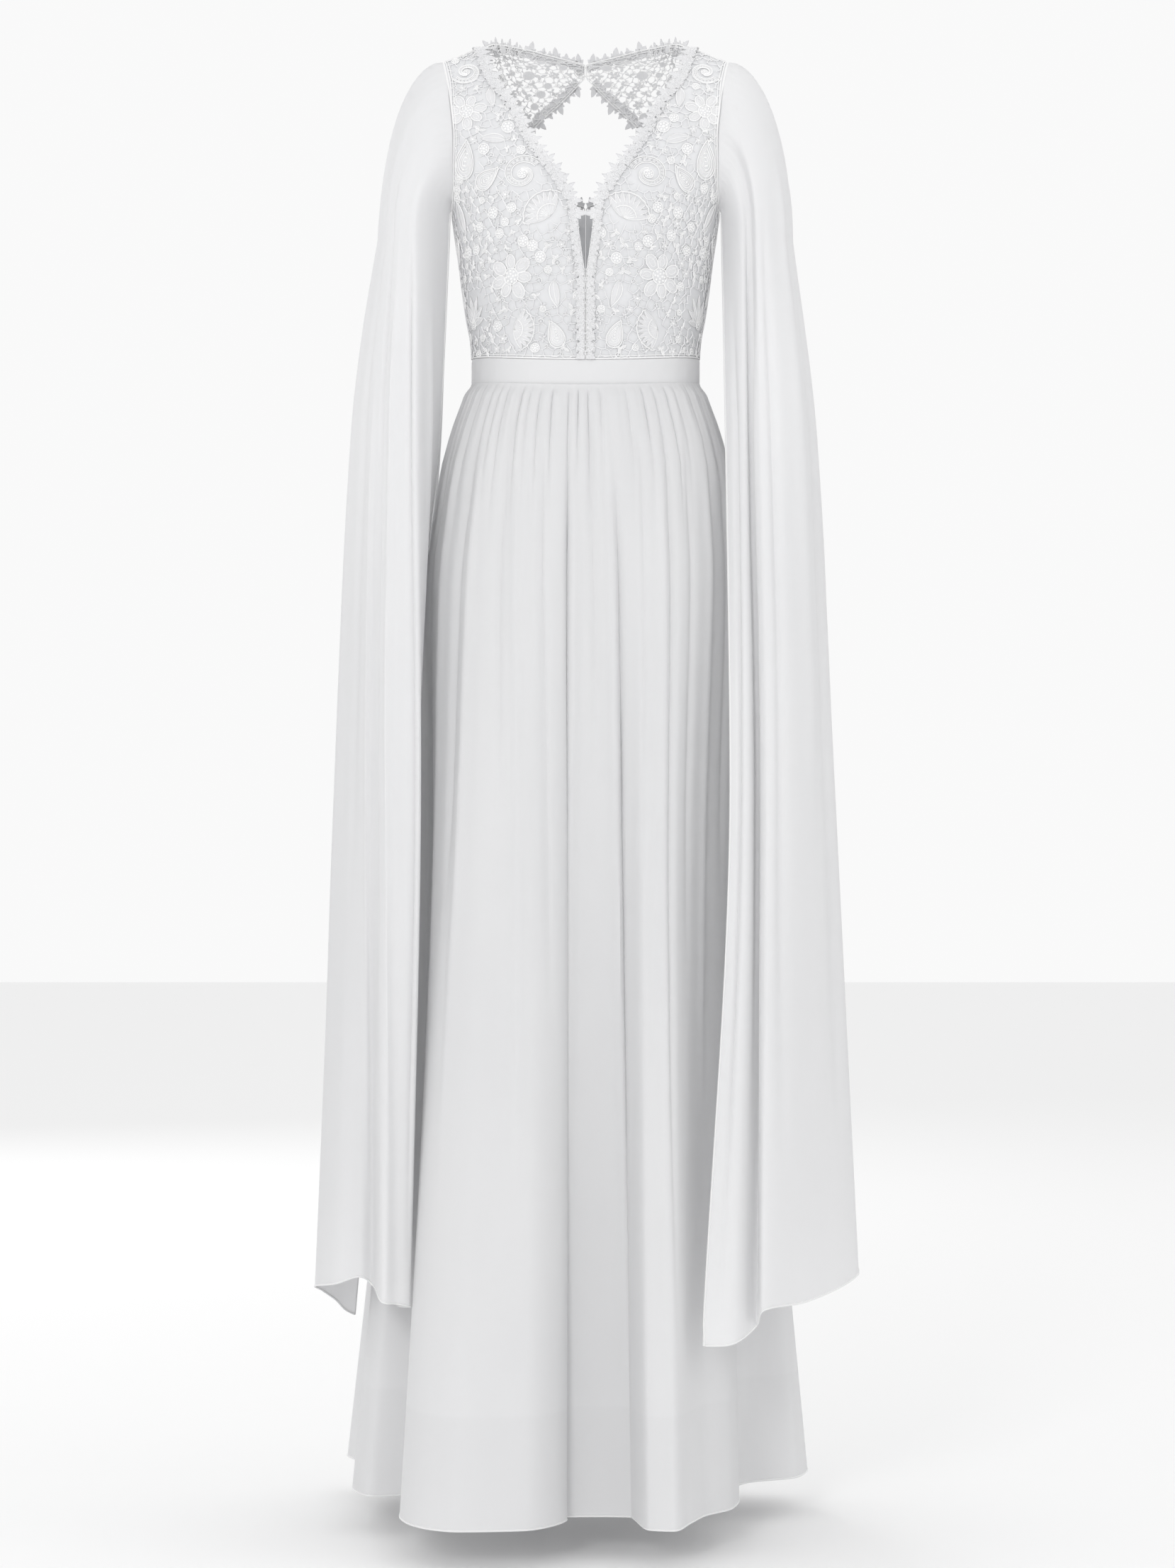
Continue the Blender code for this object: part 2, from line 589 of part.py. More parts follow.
def add_gaps(lace, side, motifs, phase, mirror):
    """Cuts the gaps between the motifs, in rows that step sideways by half a gap."""
    maker = bmesh.new()
    top, bottom = (0.0, BAND_TOP_SIDE - FRONT_DIP) if side == FRONT else (NAPE_HEIGHT, BAND_TOP_SIDE)
    tall = top - bottom
    centres = [(panel_point(side, motif.across, motif.down), motif.radius) for motif in motifs]
    row_step = GAP_PITCH * math.sin(math.radians(60.0)) / tall
    first = (GAP_EDGE + FIRST_GAP_ROW) / tall

    def surface(u, v):
        return panel_point(side, u, v)

    row = 0
    while first + row * row_step < 1.0 - GAP_EDGE / tall:
        down = first + row * row_step
        width = row_width(side, down)
        stagger = 0.5 * (row % 2)
        count = int((width - 2.0 * GAP_EDGE) / GAP_PITCH - stagger) + 1
        for k in range(max(count, 0)):
            across = (GAP_EDGE + (k + stagger) * GAP_PITCH) / width
            centre = panel_point(side, across, down)
            size = GAP_RADIUS * (0.84 + 0.16 * math.sin(phase + 1.7 * row + 2.3 * k))
            clear = all((centre - middle).length > radius for middle, radius in centres)
            if clear and across < 1.0 - 0.5 * GAP_EDGE / width:
                add_prism(maker, surface, side, across, down, centre, size, mirror)
        row += 1
    bmesh.ops.recalc_face_normals(maker, faces=maker.faces)
    mesh = bpy.data.meshes.new(lace.name + "_gaps")
    maker.to_mesh(mesh)
    maker.free()
    cutter = bpy.data.objects.new(lace.name + "_gaps", mesh)
    cutter.hide_render = True
    cutter.display_type = "WIRE"
    bpy.context.scene.collection.objects.link(cutter)
    cut = lace.modifiers.new("gaps", "BOOLEAN")
    cut.operation = "DIFFERENCE"
    cut.solver = "EXACT"
    cut.object = cutter


def add_prism(maker, surface, side, across, down, centre, size, mirror):
    """One many-sided cutter that stands across the lace."""
    way = facing(surface, across, down)
    if side == BACK:
        way = -way
    sideways = way.cross(Vector((0.0, 0.0, 1.0))).normalized()
    upward = sideways.cross(way)
    rings = []
    for lift in (LACE_LIFT - CUTTER_BELOW, LACE_LIFT + CUTTER_ABOVE):
        ring = []
        for k in range(GAP_CORNERS):
            turn = math.radians(360.0 * k / GAP_CORNERS + 18.0)
            point = centre + way * lift + (sideways * math.cos(turn) + upward * math.sin(turn)) * size
            ring.append(maker.verts.new((point.x * mirror, point.y, point.z)))
        rings.append(ring)
    maker.faces.new(rings[0])
    maker.faces.new(rings[1])
    for k in range(GAP_CORNERS):
        after = (k + 1) % GAP_CORNERS
        maker.faces.new((rings[0][k], rings[0][after], rings[1][after], rings[1][k]))


def edge_strip(cloth, cells, toothed_until):
    """The grid of a trim strip along the cells of a panel's edge.

    Each cell is (outer edge start, inside start, outer edge end, inside end) as grid indices. Past the
    edge the strip reaches out in sprigs, up to the given length along it.
    """
    sprig_reach = smooth_through([(row.along, row.reach) for row in SPRIG] + [(1.0, SPRIG[0].reach)])
    stops = [row.along for row in SPRIG]
    outer, inner = [], []
    outer_ways, inner_ways = [], []
    travelled = 0.0
    for index, (edge_a, in_a, edge_b, in_b) in enumerate(cells):
        a, b = (cloth.points[i][j] for i, j in (edge_a, edge_b))
        c, d = (cloth.points[i][j] for i, j in (in_a, in_b))
        way_a, way_b = (cloth.normals[i][j] for i, j in (edge_a, edge_b))
        way_c, way_d = (cloth.normals[i][j] for i, j in (in_a, in_b))
        length = (b - a).length
        inside = [0.0]
        if travelled < toothed_until:
            first = int(travelled / SPRIG_PITCH)
            last = int((travelled + length) / SPRIG_PITCH) + 1
            for repeat in range(first, last + 1):
                for stop in stops:
                    part = ((repeat + stop) * SPRIG_PITCH - travelled) / length
                    if 0.06 < part < 0.94:
                        inside.append(part)
        if index == len(cells) - 1:
            inside.append(1.0)
        for part in inside:
            edge = a.lerp(b, part)
            within = c.lerp(d, part)
            reach_in = min(1.0, (TRIM_WIDTH - 0.0006) / (within - edge).length)
            along = (travelled + part * length) / SPRIG_PITCH
            past = sprig_reach(along % 1.0) if travelled + part * length < toothed_until else 0.0
            tip = edge - (within - edge).normalized() * past
            outer.append(Vector((max(tip.x, SEAM), tip.y, tip.z)))
            outer_ways.append(way_a.lerp(way_b, part).normalized())
            inner.append(edge.lerp(within, reach_in))
            inner_ways.append(way_c.lerp(way_d, part).normalized())
        travelled += length
    return Cloth([outer, inner], [outer_ways, inner_ways])


def add_bodice():
    """Lining, lace and edging of the four bodice panels."""
    front = panel_cloth(FRONT, FRONT_ROWS, FRONT_COLUMNS)
    back = panel_cloth(BACK, BACK_ROWS, BACK_COLUMNS)
    lining_row = BACK_ROWS.index(LINING_TOP)
    keyhole_row = BACK_ROWS.index(KEYHOLE_BOTTOM)
    rows = len(front.points)
    neck_cells = [((i, 0), (i, 1), (i + 1, 0), (i + 1, 1)) for i in range(rows - 1)]
    collar_cells = [((0, j), (1, j), (0, j + 1), (1, j + 1)) for j in range(COLLAR_CELLS)]
    keyhole_cells = [((i, 0), (i, 1), (i + 1, 0), (i + 1, 1)) for i in range(KEYHOLE_FIRST_ROW, keyhole_row)]
    neck_trim = edge_strip(front, neck_cells, SLIT_LENGTH)
    collar_trim = edge_strip(back, collar_cells, 1.0)
    keyhole_trim = edge_strip(back, keyhole_cells, 1.0)
    for name, mirror in (("left", 1), ("right", -1)):
        def turned(cloth):
            return cloth if mirror == 1 else cloth.mirrored()

        add_wall("lining_front_" + name, turned(front), 0.0, WALL, WHITE_LINING)
        add_wall("lining_back_" + name, turned(back.part(lining_row)), 0.0, WALL, WHITE_LINING)
        lace = add_wall("lace_front_" + name, turned(front), LACE_LIFT, WALL, WHITE_LACE)
        add_gaps(lace, FRONT, FRONT_MOTIFS, 0.4 * mirror, mirror)
        lace = add_wall("lace_back_" + name, turned(back), LACE_LIFT, WALL, WHITE_LACE)
        add_gaps(lace, BACK, BACK_MOTIFS, 0.9 * mirror, mirror)
        add_wall("neck_trim_" + name, turned(neck_trim), TRIM_LIFT, WALL, WHITE_LACE)
        add_wall("collar_trim_" + name, turned(collar_trim), COLLAR_LIFT, WALL, WHITE_LACE)
        add_wall("keyhole_trim_" + name, turned(keyhole_trim), TRIM_LIFT, WALL, WHITE_LACE)


def ring_point(angle, height, widths, fronts, backs, centre=0.0):
    """A point on a round section; angle is 0 at the centre front and grows towards +X."""
    turn = math.radians(angle)
    deep = fronts if math.cos(turn) > 0.0 else backs
    return Vector((centre + widths(height) * math.sin(turn), -deep(height) * math.cos(turn), height))


def band_bottom(angle):
    return BAND_BOTTOM_SIDE - front_dip(angle)


def gather_wave(angle, valleys):
    """1 on the ridge between two gather valleys, 0 in a valley."""
    for before, after in zip(valleys, valleys[1:]):
        if before <= angle <= after:
            return math.sin(math.pi * (angle - before) / (after - before))
    return 0.0


def gather_height(fallen):
    rise = eased(0.0, GATHER_FULL, fallen)
    return GATHER_DEPTH * rise * (1.0 - eased(GATHER_FULL, GATHER_END, fallen))


def skirt_point(angle, height, valleys):
    base = ring_point(angle, height, skirt_width, skirt_front_depth, skirt_back_depth)
    at_hem = ring_point(angle, HEM, skirt_width, skirt_front_depth, skirt_back_depth)
    start = hem_start(angle)
    grown = min(max((start - height) / (start - HEM), 0.0), 1.0) ** FOLD_GROWTH
    folded = Vector((hem_across(angle), hem_depth(angle), HEM))
    point = base + (folded - at_hem) * grown
    out = Vector((base.x, base.y, 0.0)).normalized()
    fallen = band_bottom(angle) - SEAM - height
    return point + out * gather_height(fallen) * gather_wave(angle, valleys)


def lining_point(angle, height):
    return ring_point(
        angle, height, lining_width, lining_front_depth, lining_back_depth, lining_centre(height)
    )


def hung_cloth(angles, parts, top, bottom, point, ungathered):
    """The grid of a tube's panel from its top seam to a level hem, with lines at these angles.

    At its two long seams the panel faces as the ungathered tube does, so that its neighbour meets it.
    """
    low, high = angles[0], angles[-1]

    def surface(u, v):
        angle = mix(low, high, u)
        return point(angle, mix(top(angle), bottom, v))

    def seam_way(angle, v):
        height = mix(top(angle), bottom, v)
        drop = ungathered(angle, height - 0.002) - ungathered(angle, height + 0.002)
        return drop.cross(ungathered(angle + 0.4, height) - ungathered(angle - 0.4, height)).normalized()

    spots = [(angle - low) / (high - low) for angle in angles]
    points = [[surface(u, part) for u in spots] for part in parts]
    normals = []
    for part in parts:
        ways = [facing(surface, u, part, 0.0008) for u in spots[1:-1]]
        normals.append([seam_way(low, part), *ways, seam_way(high, part)])
    return Cloth(points, normals)


def seam_angle(depth):
    return math.degrees(0.5 * SEAM / depth)


def add_waistband():
    """The band, cut as a front and two backs."""
    joint = seam_angle(torso_back(BAND_TOP_SIDE))
    spread = {
        "waistband_front": (-90.0 + joint, 90.0 - joint, BAND_CELLS),
        "waistband_back_left": (90.0 + joint, 180.0 - joint, BAND_CELLS // 2),
        "waistband_back_right": (-180.0 + joint, -90.0 - joint, BAND_CELLS // 2),
    }
    for name, (low, high, count) in spread.items():
        angles = [mix(low, high, k / count) for k in range(count + 1)]

        def surface(u, v):
            angle = mix(low, high, u)
            top = BAND_TOP_SIDE - SEAM - front_dip(angle)
            return ring_point(angle, mix(top, band_bottom(angle), v), torso_width, torso_front, torso_back)

        spots = [(angle - low) / (high - low) for angle in angles]
        points = [[surface(u, v) for u in spots] for v in (0.0, 1.0)]
        normals = [[facing(surface, u, v) for u in spots] for v in (0.0, 1.0)]
        add_wall(name, Cloth(points, normals), 0.0, BAND_WALL, WHITE_BAND)


def with_ridges(valleys):
    """The valleys' angles and the ridges' angles between them."""
    angles = [valleys[0]]
    for before, after in zip(valleys, valleys[1:]):
        angles += [0.5 * (before + after), after]
    return angles


def back_valleys(low, high):
    parts = [k / BACK_GATHERS for k in range(BACK_GATHERS + 1)]
    return [mix(low, high, part + 0.02 * math.sin(7.0 * math.pi * part)) for part in parts]


def skirt_top(angle):
    return band_bottom(angle) - SEAM


def ungathered(angle, height):
    return skirt_point(angle, height, ())


def add_skirt():
    """The gathered skirt and its lining."""
    joint = seam_angle(skirt_back_depth(BAND_BOTTOM_SIDE))
    longest = SKIRT_STEPS[-1]
    parts = [step / longest for step in SKIRT_STEPS]
    panels = {
        "skirt_front": [-90.0 + joint, *FRONT_GATHERS, 90.0 - joint],
        "skirt_back_left": back_valleys(90.0 + joint, 180.0 - joint),
        "skirt_back_right": back_valleys(-180.0 + joint, -90.0 - joint),
    }
    for name, valleys in panels.items():
        def point(angle, height, folds=valleys):
            return skirt_point(angle, height, folds)

        cloth = hung_cloth(with_ridges(valleys), parts, skirt_top, HEM, point, ungathered)
        add_wall(name, cloth, WALL, WALL, WHITE_CHIFFON)
    lining_parts = [step / LINING_STEPS[-1] for step in LINING_STEPS]
    for name, low, high in (
        ("skirt_lining_front", -90.0 + joint, 90.0 - joint),
        ("skirt_lining_back", 90.0 + joint, 270.0 - joint),
    ):
        angles = [mix(low, high, k / LINING_CELLS) for k in range(LINING_CELLS + 1)]
        cloth = hung_cloth(angles, lining_parts, skirt_top, LINING_HEM, lining_point, lining_point)
        add_wall(name, cloth, LINING_SET_IN, WALL, WHITE_LINING)


def armhole_spot(seam):
    """A point of the sleeve seam, from its front end, 0, over the shoulder to 1, just off the lace's edge."""
    side = FRONT if seam < 0.5 else BACK
    climb = 1.0 - abs(2.0 * seam - 1.0)
    height = mix(SLEEVE_BOTTOM, -SHOULDER_DROP, climb)
    angle = armhole_angle(side, height)
    spot = torso_point(side, angle, height)
    across = spot - torso_point(side, angle - 1.5, height)
    ends = [torso_point(side, armhole_angle(side, height + step), height + step) for step in (0.003, -0.003)]
    edge = ends[0] - ends[1]
    way = across.cross(edge).normalized()
    if way.dot(Vector((spot.x, spot.y, 0.1))) < 0.0:
        way = -way
    away = edge.cross(way).normalized()
    if away.dot(across) < 0.0:
        away = -away
    return spot + way * (LACE_LIFT + 0.5 * WALL) + away * ARMHOLE_GAP


def sleeve_surface(rows):
    """The open sleeve as a function of the place along its seam and the part of the way down."""
    levels = {}
    for name in SleeveRow._fields[1:]:
        levels[name] = smooth_through([(row.seam, getattr(row, name)) for row in rows], rounded=True)

    def surface(seam, down):
        start = armhole_spot(seam)
        cap_part = CAP_STEPS / (CAP_STEPS + len(FALL_STEPS))
        arm = Vector((levels["arm"](seam), levels["arm_y"](seam), ARM_LEVEL))
        hem_height = levels["hem_height"](seam)
        if down <= cap_part:
            turn = 0.5 * math.pi * down / cap_part
            out = math.sin(turn)
            return Vector((
                mix(start.x, arm.x, out),
                mix(start.y, arm.y, out),
                mix(start.z, arm.z, 1.0 - math.cos(turn)),
            ))
        spot = (down - cap_part) / (1.0 - cap_part)
        steps = smooth_through([(0.0, 0.0)] + [((k + 1) / len(FALL_STEPS), s) for k, s in enumerate(FALL_STEPS)])
        height = mix(ARM_LEVEL, hem_height, steps(spot))
        heights = (ARM_LEVEL, WAIST_LEVEL, THIGH_LEVEL, hem_height)
        xs = [levels[name](seam) for name in ("arm", "waist", "thigh", "hem")]
        ys = [levels[name](seam) for name in ("arm_y", "waist_y", "thigh_y", "hem_y")]
        return Vector((smooth_through(zip(heights, xs))(height), smooth_through(zip(heights, ys))(height), height))

    return surface


def add_sleeves():
    """The two cape sleeves, sewn round the armhole and free below it, each in a front and a back half."""
    for name, rows, mirror in (("sleeve_left", LEFT_SLEEVE, 1), ("sleeve_right", RIGHT_SLEEVE, -1)):
        surface = sleeve_surface(rows)
        seams = with_ridges([row.seam for row in rows])
        front = [seam for seam in seams if seam < SLEEVE_MIDDLE] + [SLEEVE_MIDDLE - MIDDLE_GAP]
        back = [SLEEVE_MIDDLE + MIDDLE_GAP] + [seam for seam in seams if seam > SLEEVE_MIDDLE]
        count = CAP_STEPS + len(FALL_STEPS)
        downs = [k / count for k in range(count + 1)]
        for half, line in (("front", front), ("back", back)):
            ways = [SLEEVE_MIDDLE if abs(seam - SLEEVE_MIDDLE) <= MIDDLE_GAP else seam for seam in line]
            points = [[surface(seam, down) for seam in line] for down in downs]
            normals = [[facing(surface, seam, down) for seam in ways] for down in downs]
            cloth = Cloth(points, normals)
            cloth = cloth if mirror == 1 else cloth.mirrored()
            add_wall(f"{name}_{half}", cloth, -0.5 * WALL, WALL, WHITE_CHIFFON)


def add_nape_closure():
    """A covered button on the right yoke, and the cord loop from the left yoke round it."""
    height = NAPE_HEIGHT - CLOSURE_DROP
    spot = torso_point(BACK, angle_at(CLOSURE_ASIDE, height), height)
    seat = spot.y + COLLAR_LIFT + WALL + 0.0006
    maker = bmesh.new()
    bmesh.ops.create_uvsphere(maker, u_segments=12, v_segments=6, radius=BUTTON_RADIUS)
    flat = BUTTON_HEIGHT / (2.0 * BUTTON_RADIUS)
    for vert in maker.verts:
        x, y, z = vert.co
        vert.co = (x - CLOSURE_ASIDE, seat + 0.5 * BUTTON_HEIGHT + z * flat, y + height)
    add_object("nape_button", maker, WHITE_BUTTON)
    curve = bpy.data.curves.new("nape_loop", "CURVE")
    curve.dimensions = "3D"
    curve.bevel_depth = LOOP_CORD
    curve.bevel_resolution = 1
    curve.use_fill_caps = True
    spline = curve.splines.new("POLY")
    turns = [math.radians(degrees) for degrees in range(50, 311, 20)]
    ring = [(LOOP_RADIUS * math.cos(turn) - CLOSURE_ASIDE, LOOP_RADIUS * math.sin(turn)) for turn in turns]
    path = [LOOP_ENDS[0], *ring, LOOP_ENDS[1]]
    spline.points.add(len(path) - 1)
    for point, (across, up) in zip(spline.points, path):
        point.co = (across, seat + LOOP_CORD, height + up, 1.0)
    curve.materials.append(new_material(WHITE_BUTTON))
    bpy.context.scene.collection.objects.link(bpy.data.objects.new("nape_loop", curve))


def main():
    for thing in list(bpy.data.objects):
        bpy.data.objects.remove(thing, do_unlink=True)
    add_bodice()
    add_waistband()
    add_skirt()
    add_sleeves()
    add_nape_closure()


main()
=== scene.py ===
"""Evening dress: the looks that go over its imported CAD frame.

Every cloth piece is a thin shell on the form of its solid, worked out again here from the same named
sizes and tables at a finer step. The lace is modelled as cords and pads on the bodice panels. Sizes are
in metres, the front faces -Y, the wearer's left is +X, and the origin lies between the shoulder tops.
"""

import sys

import logging
import math
from collections.abc import Callable, Sequence
from dataclasses import dataclass, field
from enum import Enum
from typing import NamedTuple, TypeVar

import bpy
import numpy as np
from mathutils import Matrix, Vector


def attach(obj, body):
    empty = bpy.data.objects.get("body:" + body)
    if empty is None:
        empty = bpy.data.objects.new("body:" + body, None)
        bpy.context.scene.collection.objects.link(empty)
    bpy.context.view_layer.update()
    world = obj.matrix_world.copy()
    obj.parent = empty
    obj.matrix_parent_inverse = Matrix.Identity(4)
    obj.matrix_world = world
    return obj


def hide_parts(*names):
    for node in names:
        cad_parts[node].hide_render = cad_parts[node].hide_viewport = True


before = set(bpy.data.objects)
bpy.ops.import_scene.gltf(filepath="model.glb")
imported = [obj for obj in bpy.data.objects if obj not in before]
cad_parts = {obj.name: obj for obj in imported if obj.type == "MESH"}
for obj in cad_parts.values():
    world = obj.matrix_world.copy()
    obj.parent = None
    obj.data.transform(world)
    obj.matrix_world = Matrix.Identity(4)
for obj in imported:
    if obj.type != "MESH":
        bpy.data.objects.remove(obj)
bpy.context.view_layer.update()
LOG = logging.getLogger("dress")

Array = np.ndarray
Piece = bpy.types.Object
Pairs = Sequence[tuple[float, float]]
Row = TypeVar("Row", bound=tuple)


class Side(Enum):
    """The front or the back of the bodice, as the sign of its Y."""

    FRONT = -1
    BACK = 1

    @property
    def label(self) -> str:
        """The word for it in a piece's name."""
        return self.name.lower()


class Hand(Enum):
    """The wearer's left or right, as the sign of its X."""

    LEFT = 1
    RIGHT = -1

    @property
    def label(self) -> str:
        """The word that ends a piece's name."""
        return self.name.lower()

    @property
    def flip(self) -> Array:
        """What points of the +X half are multiplied by to lie on this side."""
        return np.array([self.value, 1.0, 1.0])


# Cloth walls and lifts, as in the solids
WALL = 0.0010
BAND_WALL = 0.0020
SEAM = 0.0003
HALF_SEAM = 0.5 * SEAM
LACE_LIFT = WALL + SEAM
TRIM_WIDTH = 0.0100
TRIM_LIFT = LACE_LIFT + 0.0012
COLLAR_LIFT = TRIM_LIFT + 0.0010

# Driving sizes, as in the solids
NECK_POINT = 0.108
SHOULDER_POINT = 0.147
SHOULDER_DROP = 0.0155
SHOULDER_SLOPE = SHOULDER_DROP / (SHOULDER_POINT - NECK_POINT)
NAPE_HEIGHT = -0.006
KEYHOLE_BOTTOM = -0.1510
LINING_TOP = -0.1590
UNDERARM = -0.176
BAND_TOP_SIDE = -0.3237
BAND_BOTTOM_SIDE = -0.3495
FRONT_DIP = 0.0085
HEM = -1.505
LINING_HEM = -1.392
CUP_RISE = 0.055
CUP_ANGLE = 36.0
CUP_SPREAD = 22.0
CUP_HEIGHT = -0.195
CUP_TALL = 0.050
GATHER_DEPTH = 0.0038
GATHER_FULL = 0.014
GATHER_END = 0.190
FOLD_GROWTH = 0.85
BACK_GATHERS = 9
ARM_LEVEL = -0.200
WAIST_LEVEL = -0.400
THIGH_LEVEL = -0.750
SLEEVE_BOTTOM = -0.165
ARMHOLE_GAP = 0.0017
SPRIG_PITCH = 0.027
BUTTON_RADIUS = 0.0045
BUTTON_HEIGHT = 0.0032
LOOP_RADIUS = 0.0060
LOOP_CORD = 0.0006
CLOSURE_LIFT = 0.0055
NECK_PART = 0.60

# Thin walls of the cloth as it is shown, and what the weave does to light
CHIFFON_WALL = 0.0005
LINING_WALL = 0.0008
SKIRT_LINING_WALL = 0.0006
HEM_ROLL = 0.0011
FULL_TURN = 2.0 * math.pi
WANDER_THREADS = 9.0
WANDER_TURN = 36.0
WEAVE_SHARE = 0.25
PATCH_SCALE = 9.0
PATCH_STEP = (0.30, 0.72)
PATCH_FALL = 0.30
SLUB_FALL = 0.25
CREASE_SCALE = 38.0
CREASE_FALL = 0.22
CREASE_BUMP = (0.22, 0.0035)
WEAVE_BUMP = 0.55
DULLING = 0.10
FIBRE_SPREAD = 0.45
GLOSS = 0.25
# Painted shade: the sheer skirt's colour is dimmed by this share below the lining's hem, where no lining lies behind
# it
UNLINED_PAINTED_SHADE = 0.975


class TorsoRow(NamedTuple):
    """One section of the bodice: its height, half width and depths."""

    height: float
    half_width: float
    front: float
    back: float
    nape: float


class EdgeRow(NamedTuple):
    """How far an edge lies from the middle at one height."""

    height: float
    reach: float


class CollarRow(NamedTuple):
    """The height of the back neck edge at one reach."""

    reach: float
    height: float


class SkirtRow(NamedTuple):
    """One section of the skirt's round base, before its folds."""

    height: float
    half_width: float
    front: float
    back: float


class HemRow(NamedTuple):
    """Where the cloth from one angle of the waist reaches the hem, and where its fold starts."""

    angle: float
    across: float
    depth: float
    start: float


class LiningRow(NamedTuple):
    """One section of the skirt's lining."""

    height: float
    centre: float
    half_width: float
    front: float
    back: float


class SleeveRow(NamedTuple):
    """One line of a sleeve's cloth, from its place on the armhole to its hem."""

    seam: float
    arm: float
    arm_y: float
    waist: float
    waist_y: float
    thigh: float
    thigh_y: float
    hem: float
    hem_y: float
    hem_height: float


def named_rows(kind: type[Row], *rows: tuple) -> tuple[Row, ...]:
    """A table whose rows have the named columns of this kind."""
    return tuple(kind(*row) for row in rows)


TORSO = named_rows(
    TorsoRow,
    (0.012, 0.222, 0.0002, 0.0002, 0.058), (0.0, 0.215, 0.0002, 0.0002, 0.0615),
    (-0.006, 0.2125, 0.017, 0.019, 0.0635), (-0.02, 0.204, 0.034, 0.038, 0.068),
    (-0.045, 0.187, 0.055, 0.06, 0.0745), (-0.08, 0.172, 0.078, 0.078, 0.0835),
    (-0.12, 0.156, 0.097, 0.09, 0.0905), (-0.15, 0.1455, 0.107, 0.094, 0.094),
    (-0.176, 0.137, 0.112, 0.0955, 0.0955), (-0.2, 0.1335, 0.114, 0.095, 0.095),
    (-0.223, 0.13, 0.112, 0.093, 0.093), (-0.252, 0.1264, 0.106, 0.089, 0.089),
    (-0.282, 0.122, 0.0985, 0.085, 0.085), (-0.305, 0.1178, 0.0925, 0.082, 0.082),
    (-0.324, 0.1165, 0.0895, 0.08, 0.08), (-0.365, 0.1165, 0.0895, 0.08, 0.08),
)
NECKLINE = named_rows(
    EdgeRow,
    (0.0, 0.108), (-0.035, 0.0945), (-0.057, 0.08), (-0.08, 0.0655), (-0.106, 0.0533), (-0.129, 0.0378),
    (-0.144, 0.0265), (-0.16, 0.018), (-0.173, 0.01), (-0.208, 0.0058), (-0.247, HALF_SEAM),
)
KEYHOLE = named_rows(
    EdgeRow,
    (-0.02, HALF_SEAM), (-0.045, 0.025), (-0.071, 0.053), (-0.09, 0.0655), (-0.104, 0.0665), (-0.12, 0.056),
    (-0.134, 0.037), (-0.144, 0.018), (KEYHOLE_BOTTOM, HALF_SEAM),
)
ARMHOLE = named_rows(
    EdgeRow,
    (-0.0155, SHOULDER_POINT), (-0.032, 0.144), (-0.064, 0.1385), (-0.104, 0.1345), (-0.14, 0.1342),
    (-0.165, 0.136), (UNDERARM, 0.137),
)
COLLAR = named_rows(
    CollarRow,
    (0.0, NAPE_HEIGHT), (0.035, 0.003), (0.07, 0.01), (0.092, 0.008), (NECK_POINT, 0.0),
)
SKIRT = named_rows(
    SkirtRow,
    (-0.34, 0.1165, 0.0895, 0.08), (-0.35, 0.117, 0.09, 0.0803), (-0.362, 0.1205, 0.093, 0.084),
    (-0.399, 0.1345, 0.105, 0.097), (-0.434, 0.1455, 0.114, 0.108), (-0.475, 0.154, 0.12, 0.116),
    (-0.55, 0.166, 0.129, 0.13), (-0.625, 0.17, 0.134, 0.14), (-0.8, 0.176, 0.142, 0.158),
    (-1.0, 0.188, 0.152, 0.18), (-1.2, 0.203, 0.16, 0.203), (-1.35, 0.215, 0.166, 0.22),
    (HEM, 0.228, 0.172, 0.238),
)
HEM_FOLDS = named_rows(
    HemRow,
    (-180, 0.0, 0.262, -0.4), (-168, -0.045, 0.236, -0.42), (-156, -0.095, 0.268, -0.5),
    (-144, -0.145, 0.238, -0.42), (-132, -0.195, 0.272, -0.5), (-121, -0.25, 0.284, -0.45),
    (-113, -0.261, 0.262, -0.5), (-104, -0.236, 0.185, -0.5), (-97, -0.236, 0.11, -0.5),
    (-92, -0.244, 0.055, -0.5), (-86, -0.222, 0.002, -0.6), (-79, -0.184, 0.01, -0.6),
    (-74, -0.178, -0.03, -0.6), (-66, -0.1865, -0.11, -0.5), (-54, -0.168, -0.175, -0.45),
    (-40, -0.125, -0.203, -0.4), (-24, -0.062, -0.196, -0.4), (-14, -0.029, -0.162, -0.38),
    (-9.5, -0.0205, -0.136, -0.36), (-6, -0.0235, -0.119, -0.36), (2, 0.01, -0.117, -0.38),
    (12, 0.047, -0.12, -0.45), (16, 0.0515, -0.138, -0.45), (25, 0.064, -0.193, -0.45),
    (35, 0.087, -0.199, -0.45), (46, 0.104, -0.155, -0.42), (56, 0.119, -0.115, -0.42),
    (70, 0.149, -0.07, -0.5), (80, 0.1575, -0.012, -0.6), (86, 0.151, 0.032, -0.7), (93, 0.17, 0.086, -0.7),
    (103, 0.226, 0.122, -0.5), (112, 0.238, 0.172, -0.45), (126, 0.195, 0.238, -0.45),
    (137, 0.15, 0.222, -0.42), (148, 0.118, 0.262, -0.5), (160, 0.068, 0.234, -0.42), (180, 0.0, 0.262, -0.4),
)
FRONT_GATHERS = (
    -78, -68, -58.5, -49.5, -44.3, -39.6, -30.5, -26.4, -21.4, -15.4, -7.8, -3.2, 1.1, 6.8, 19.1, 27.6,
    34.0, 41, 47.4, 58, 68, 78,
)
